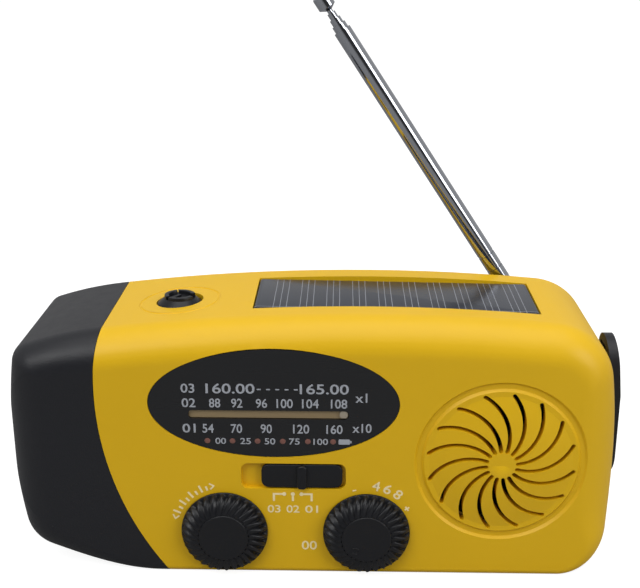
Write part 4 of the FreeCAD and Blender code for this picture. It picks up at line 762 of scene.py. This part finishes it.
def dialPrint():
    face = windowLow[1]
    rows = [("160.00", -16.5, 42.65, 9.9, 2.2), ("165.00", 2.5, 42.65, 9.9, 2.2)]
    rows += [("88", -19.7, 39.45, 2.3, 2.0), ("92", -15.2, 39.45, 2.3, 2.0), ("96", -10.2, 39.45, 2.3, 2.0),
             ("100", -5.5, 39.45, 3.3, 2.0), ("104", -0.3, 39.45, 3.4, 2.0), ("108", 5.5, 39.45, 3.3, 2.0)]
    rows += [("54", -21.2, 33.8, 2.3, 2.0), ("70", -15.4, 33.8, 2.3, 2.0), ("90", -9.3, 33.8, 2.3, 2.0),
             ("120", -2.2, 33.8, 3.3, 2.0), ("160", 4.6, 33.8, 3.3, 2.0)]
    rows += [("x1", 10.0, 40.8, 2.4, 2.0), ("x10", 10.2, 34.1, 3.9, 2.0)]
    rows += [("03", -25.1, 42.65, 2.8, 2.0), ("02", -25.0, 39.45, 2.8, 2.0), ("01", -25.1, 33.8, 2.7, 2.0)]
    rows += [("25", -13.6, 31.0, 2.2, 1.4), ("50", -8.6, 31.0, 2.2, 1.4), ("75", -3.6, 31.0, 2.2, 1.4),
             ("100", 1.8, 31.0, 3.0, 1.4), ("00", -18.7, 31.0, 2.2, 1.4)]
    parts = [printedText(words, x, z, w, h, face) for words, x, z, w, h in rows]
    for i in range(5):
        parts.append(printedBlock(-10.7 + 1.87 * i, 42.5, 0.8, 0.26, face))
    # a plain cell outline beside the last lamp
    parts.append(printedBlock(6.6, 31.0, 2.3, 1.15, face, corner=0.15))
    parts.append(printedBlock(7.95, 31.0, 0.3, 0.55, face, corner=0.2))
    marks = joinAll(parts)
    finishPiece(marks, "dialNumbers", "case", printWhite, 0)


def lampDots():
    face = windowLow[1]
    low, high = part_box("indicator_leds")
    dots = []
    for i in range(6):
        x = (low[0] + 0.8 * mm) / mm - 0.33 + 5.15 * i
        clearSelection()
        bpy.ops.mesh.primitive_uv_sphere_add(segments=24, ring_count=10, radius=0.62 * mm,
                                             location=(x * mm, face + 0.03 * mm, (low[2] + high[2]) / 2),
                                             rotation=(math.pi / 2, 0, 0))
        bpy.context.object.scale = (1, 1, 0.16)
        bpy.ops.object.transform_apply(location=True, rotation=True, scale=True)
        dots.append(bpy.context.object)
    finishPiece(joinAll(dots), "lampDots", "case", finishes["indicator"], 60)


def casePrint():
    face = windowLow[1] - 0.1 * mm    # the flat front, just before the window
    parts = []
    # switch positions: three dots with legs
    for dot, leg in ((-5.8, -7.95), (-4.0, -4.0), (-2.2, -0.1)):
        parts.append(printedBlock(dot, 19.0, 0.86, 0.86, face, corner=0.49, level=0.012))
        parts.append(printedBlock(leg, 18.25, 0.46, 1.8, face, corner=0.1))
        if dot != leg:
            parts.append(printedBlock((dot + leg) / 2, 19.0, abs(dot - leg) + 0.46, 0.42, face, corner=0.1,
                                      level=0.006))
    for number, x in (("03", -7.95), ("02", -4.0), ("01", -0.1)):
        parts.append(printedText(number, x, 15.5, 2.7, 1.75, face))
    parts.append(printedText("00", -0.6, 6.9, 3.2, 2.1, face))
    # ticks round the tuning knob between two arrow heads
    knobs = {"tuning": (-18.4, 10.2), "volume": (11.4, 10.2)}
    tickRing, arrowRing, signRing, numberRing = 10.0, 10.7, 10.1, 11.0
    x0, z0 = knobs["tuning"]
    for i in range(8):
        angle = math.radians(156 - 6.6 * i)
        tall = 1.7 if i % 2 == 0 else 1.0
        radius = tickRing + tall / 2
        parts.append(printedBlock(x0 + radius * math.cos(angle), z0 + radius * math.sin(angle), tall, 0.42,
                                  face, turn=angle, corner=0.1))
    for angle, way in ((165, 1), (101, -1)):
        a = math.radians(angle)
        x, z = x0 + arrowRing * math.cos(a), z0 + arrowRing * math.sin(a)
        heading = a + way * math.pi / 2
        for side in (-1, 1):
            spread = heading + math.pi + side * math.radians(38)
            parts.append(printedBlock(x + 0.5 * math.cos(spread), z + 0.5 * math.sin(spread), 1.2, 0.32, face,
                                      turn=spread, corner=0.1, level=0.004 * (side + 1)))
    # minus, numbers and plus round the volume knob
    x0, z0 = knobs["volume"]
    for words, angle in (("4", 80), ("6", 67), ("8", 54)):
        a = math.radians(angle)
        parts.append(printedText(words, x0 + numberRing * math.cos(a), z0 + numberRing * math.sin(a), 1.6, 2.2,
                                 face, turn=a - math.pi / 2))
    a = math.radians(105)
    parts.append(printedBlock(x0 + signRing * math.cos(a), z0 + signRing * math.sin(a), 0.8, 0.3, face,
                              turn=a - math.pi / 2))
    a = math.radians(34)
    for turn in (0, math.pi / 2):
        parts.append(printedBlock(x0 + signRing * math.cos(a), z0 + signRing * math.sin(a), 1.15, 0.34, face,
                                  turn=a - math.pi / 2 + turn, level=0.004 * turn))
    finishPiece(joinAll(parts), "caseMarks", "case", printCream, 0)


dialPrint()
lampDots()
casePrint()
print("printed marks made")


view = {"place": (6.2, -225.1, 131.0), "down": 18.49, "turn": 1.28, "lens": 61.875}

clearSelection()
bpy.ops.object.camera_add(location=[value * mm for value in view["place"]],
                          rotation=(math.radians(90 - view["down"]), 0, math.radians(view["turn"])))
camera = bpy.context.object
camera.name = "camera"
camera.data.lens = view["lens"]
camera.data.sensor_width = 36
camera.data.clip_start, camera.data.clip_end = 0.005, 20
bpy.context.scene.camera = camera

lamps = [
    # name, place, size, power, aimed at
    ("overheadSoftbox", (0.05, -0.12, 0.75), 0.7, 2.75, (0, 0, 0.03)),
    ("leftSoftbox", (-0.5, -0.6, 0.75), 0.45, 3.15, (0, 0, 0.03)),
    ("rightSoftbox", (0.7, -0.5, 0.4), 0.4, 2.35, (0, 0, 0.03)),
]
for name, place, size, power, target in lamps:
    clearSelection()
    bpy.ops.object.light_add(type="AREA", location=place)
    lamp = bpy.context.object
    lamp.name = name
    lamp.data.shape = "SQUARE"
    lamp.data.size = size
    lamp.data.energy = power
    lamp.rotation_euler = (Vector(target) - Vector(place)).to_track_quat("-Z", "Y").to_euler()

scene = bpy.context.scene
scene.view_settings.view_transform = "Standard"
world = scene.world or bpy.data.worlds.new("studio")
scene.world = world
world.use_nodes = True
tree = world.node_tree
tree.nodes.clear()
ambient = tree.nodes.new("ShaderNodeBackground")
ambient.inputs["Color"].default_value = (1, 1, 1, 1)
# the room behind the camera is dark, the walls at the sides are pale
direction = tree.nodes.new("ShaderNodeTexCoord").outputs["Generated"]
parts = tree.nodes.new("ShaderNodeSeparateXYZ")
tree.links.new(direction, parts.inputs[0])
room = tree.nodes.new("ShaderNodeMapRange")
room.interpolation_type = "SMOOTHSTEP"
tree.links.new(addMath(tree, "MULTIPLY", parts.outputs["Y"], -1), room.inputs["Value"])
for label, value in (("From Min", 0.55), ("From Max", 0.82), ("To Min", 0.5), ("To Max", 0.05)):
    room.inputs[label].default_value = value
tree.links.new(room.outputs["Result"], ambient.inputs["Strength"])
backdrop = tree.nodes.new("ShaderNodeBackground")
backdrop.inputs["Color"].default_value = (1, 1, 1, 1)
backdrop.inputs["Strength"].default_value = 1
path = tree.nodes.new("ShaderNodeLightPath")
mixWorld = tree.nodes.new("ShaderNodeMixShader")
output = tree.nodes.new("ShaderNodeOutputWorld")
seen = addMath(tree, "MAXIMUM", path.outputs["Is Camera Ray"], path.outputs["Is Transmission Ray"])
tree.links.new(seen, mixWorld.inputs[0])
tree.links.new(ambient.outputs[0], mixWorld.inputs[1])
tree.links.new(backdrop.outputs[0], mixWorld.inputs[2])
tree.links.new(mixWorld.outputs[0], output.inputs["Surface"])

clearSelection()
bpy.ops.mesh.primitive_plane_add(size=6, location=(0, 0, -0.00005))
floor = bpy.context.object
floor.name = "studioFloor"
floorMaterial, tree, shader = newMaterial("floorPaper")
place = tree.nodes.new("ShaderNodeTexCoord").outputs["Object"]
fibre = addNoise(tree, place, 300, 3)
feed(tree, shader, "Base Color", addMix(tree, fibre, (0.27, 0.27, 0.27, 1), (0.3, 0.3, 0.3, 1)))
shader.inputs["Roughness"].default_value = 0.8
shader.inputs["Emission Color"].default_value = (1, 1, 1, 1)
path = tree.nodes.new("ShaderNodeLightPath")
feed(tree, shader, "Emission Strength", addMath(tree, "MULTIPLY", path.outputs["Is Camera Ray"], 0.9))
floor.data.materials.append(floorMaterial)
print("camera, lamps and floor set")
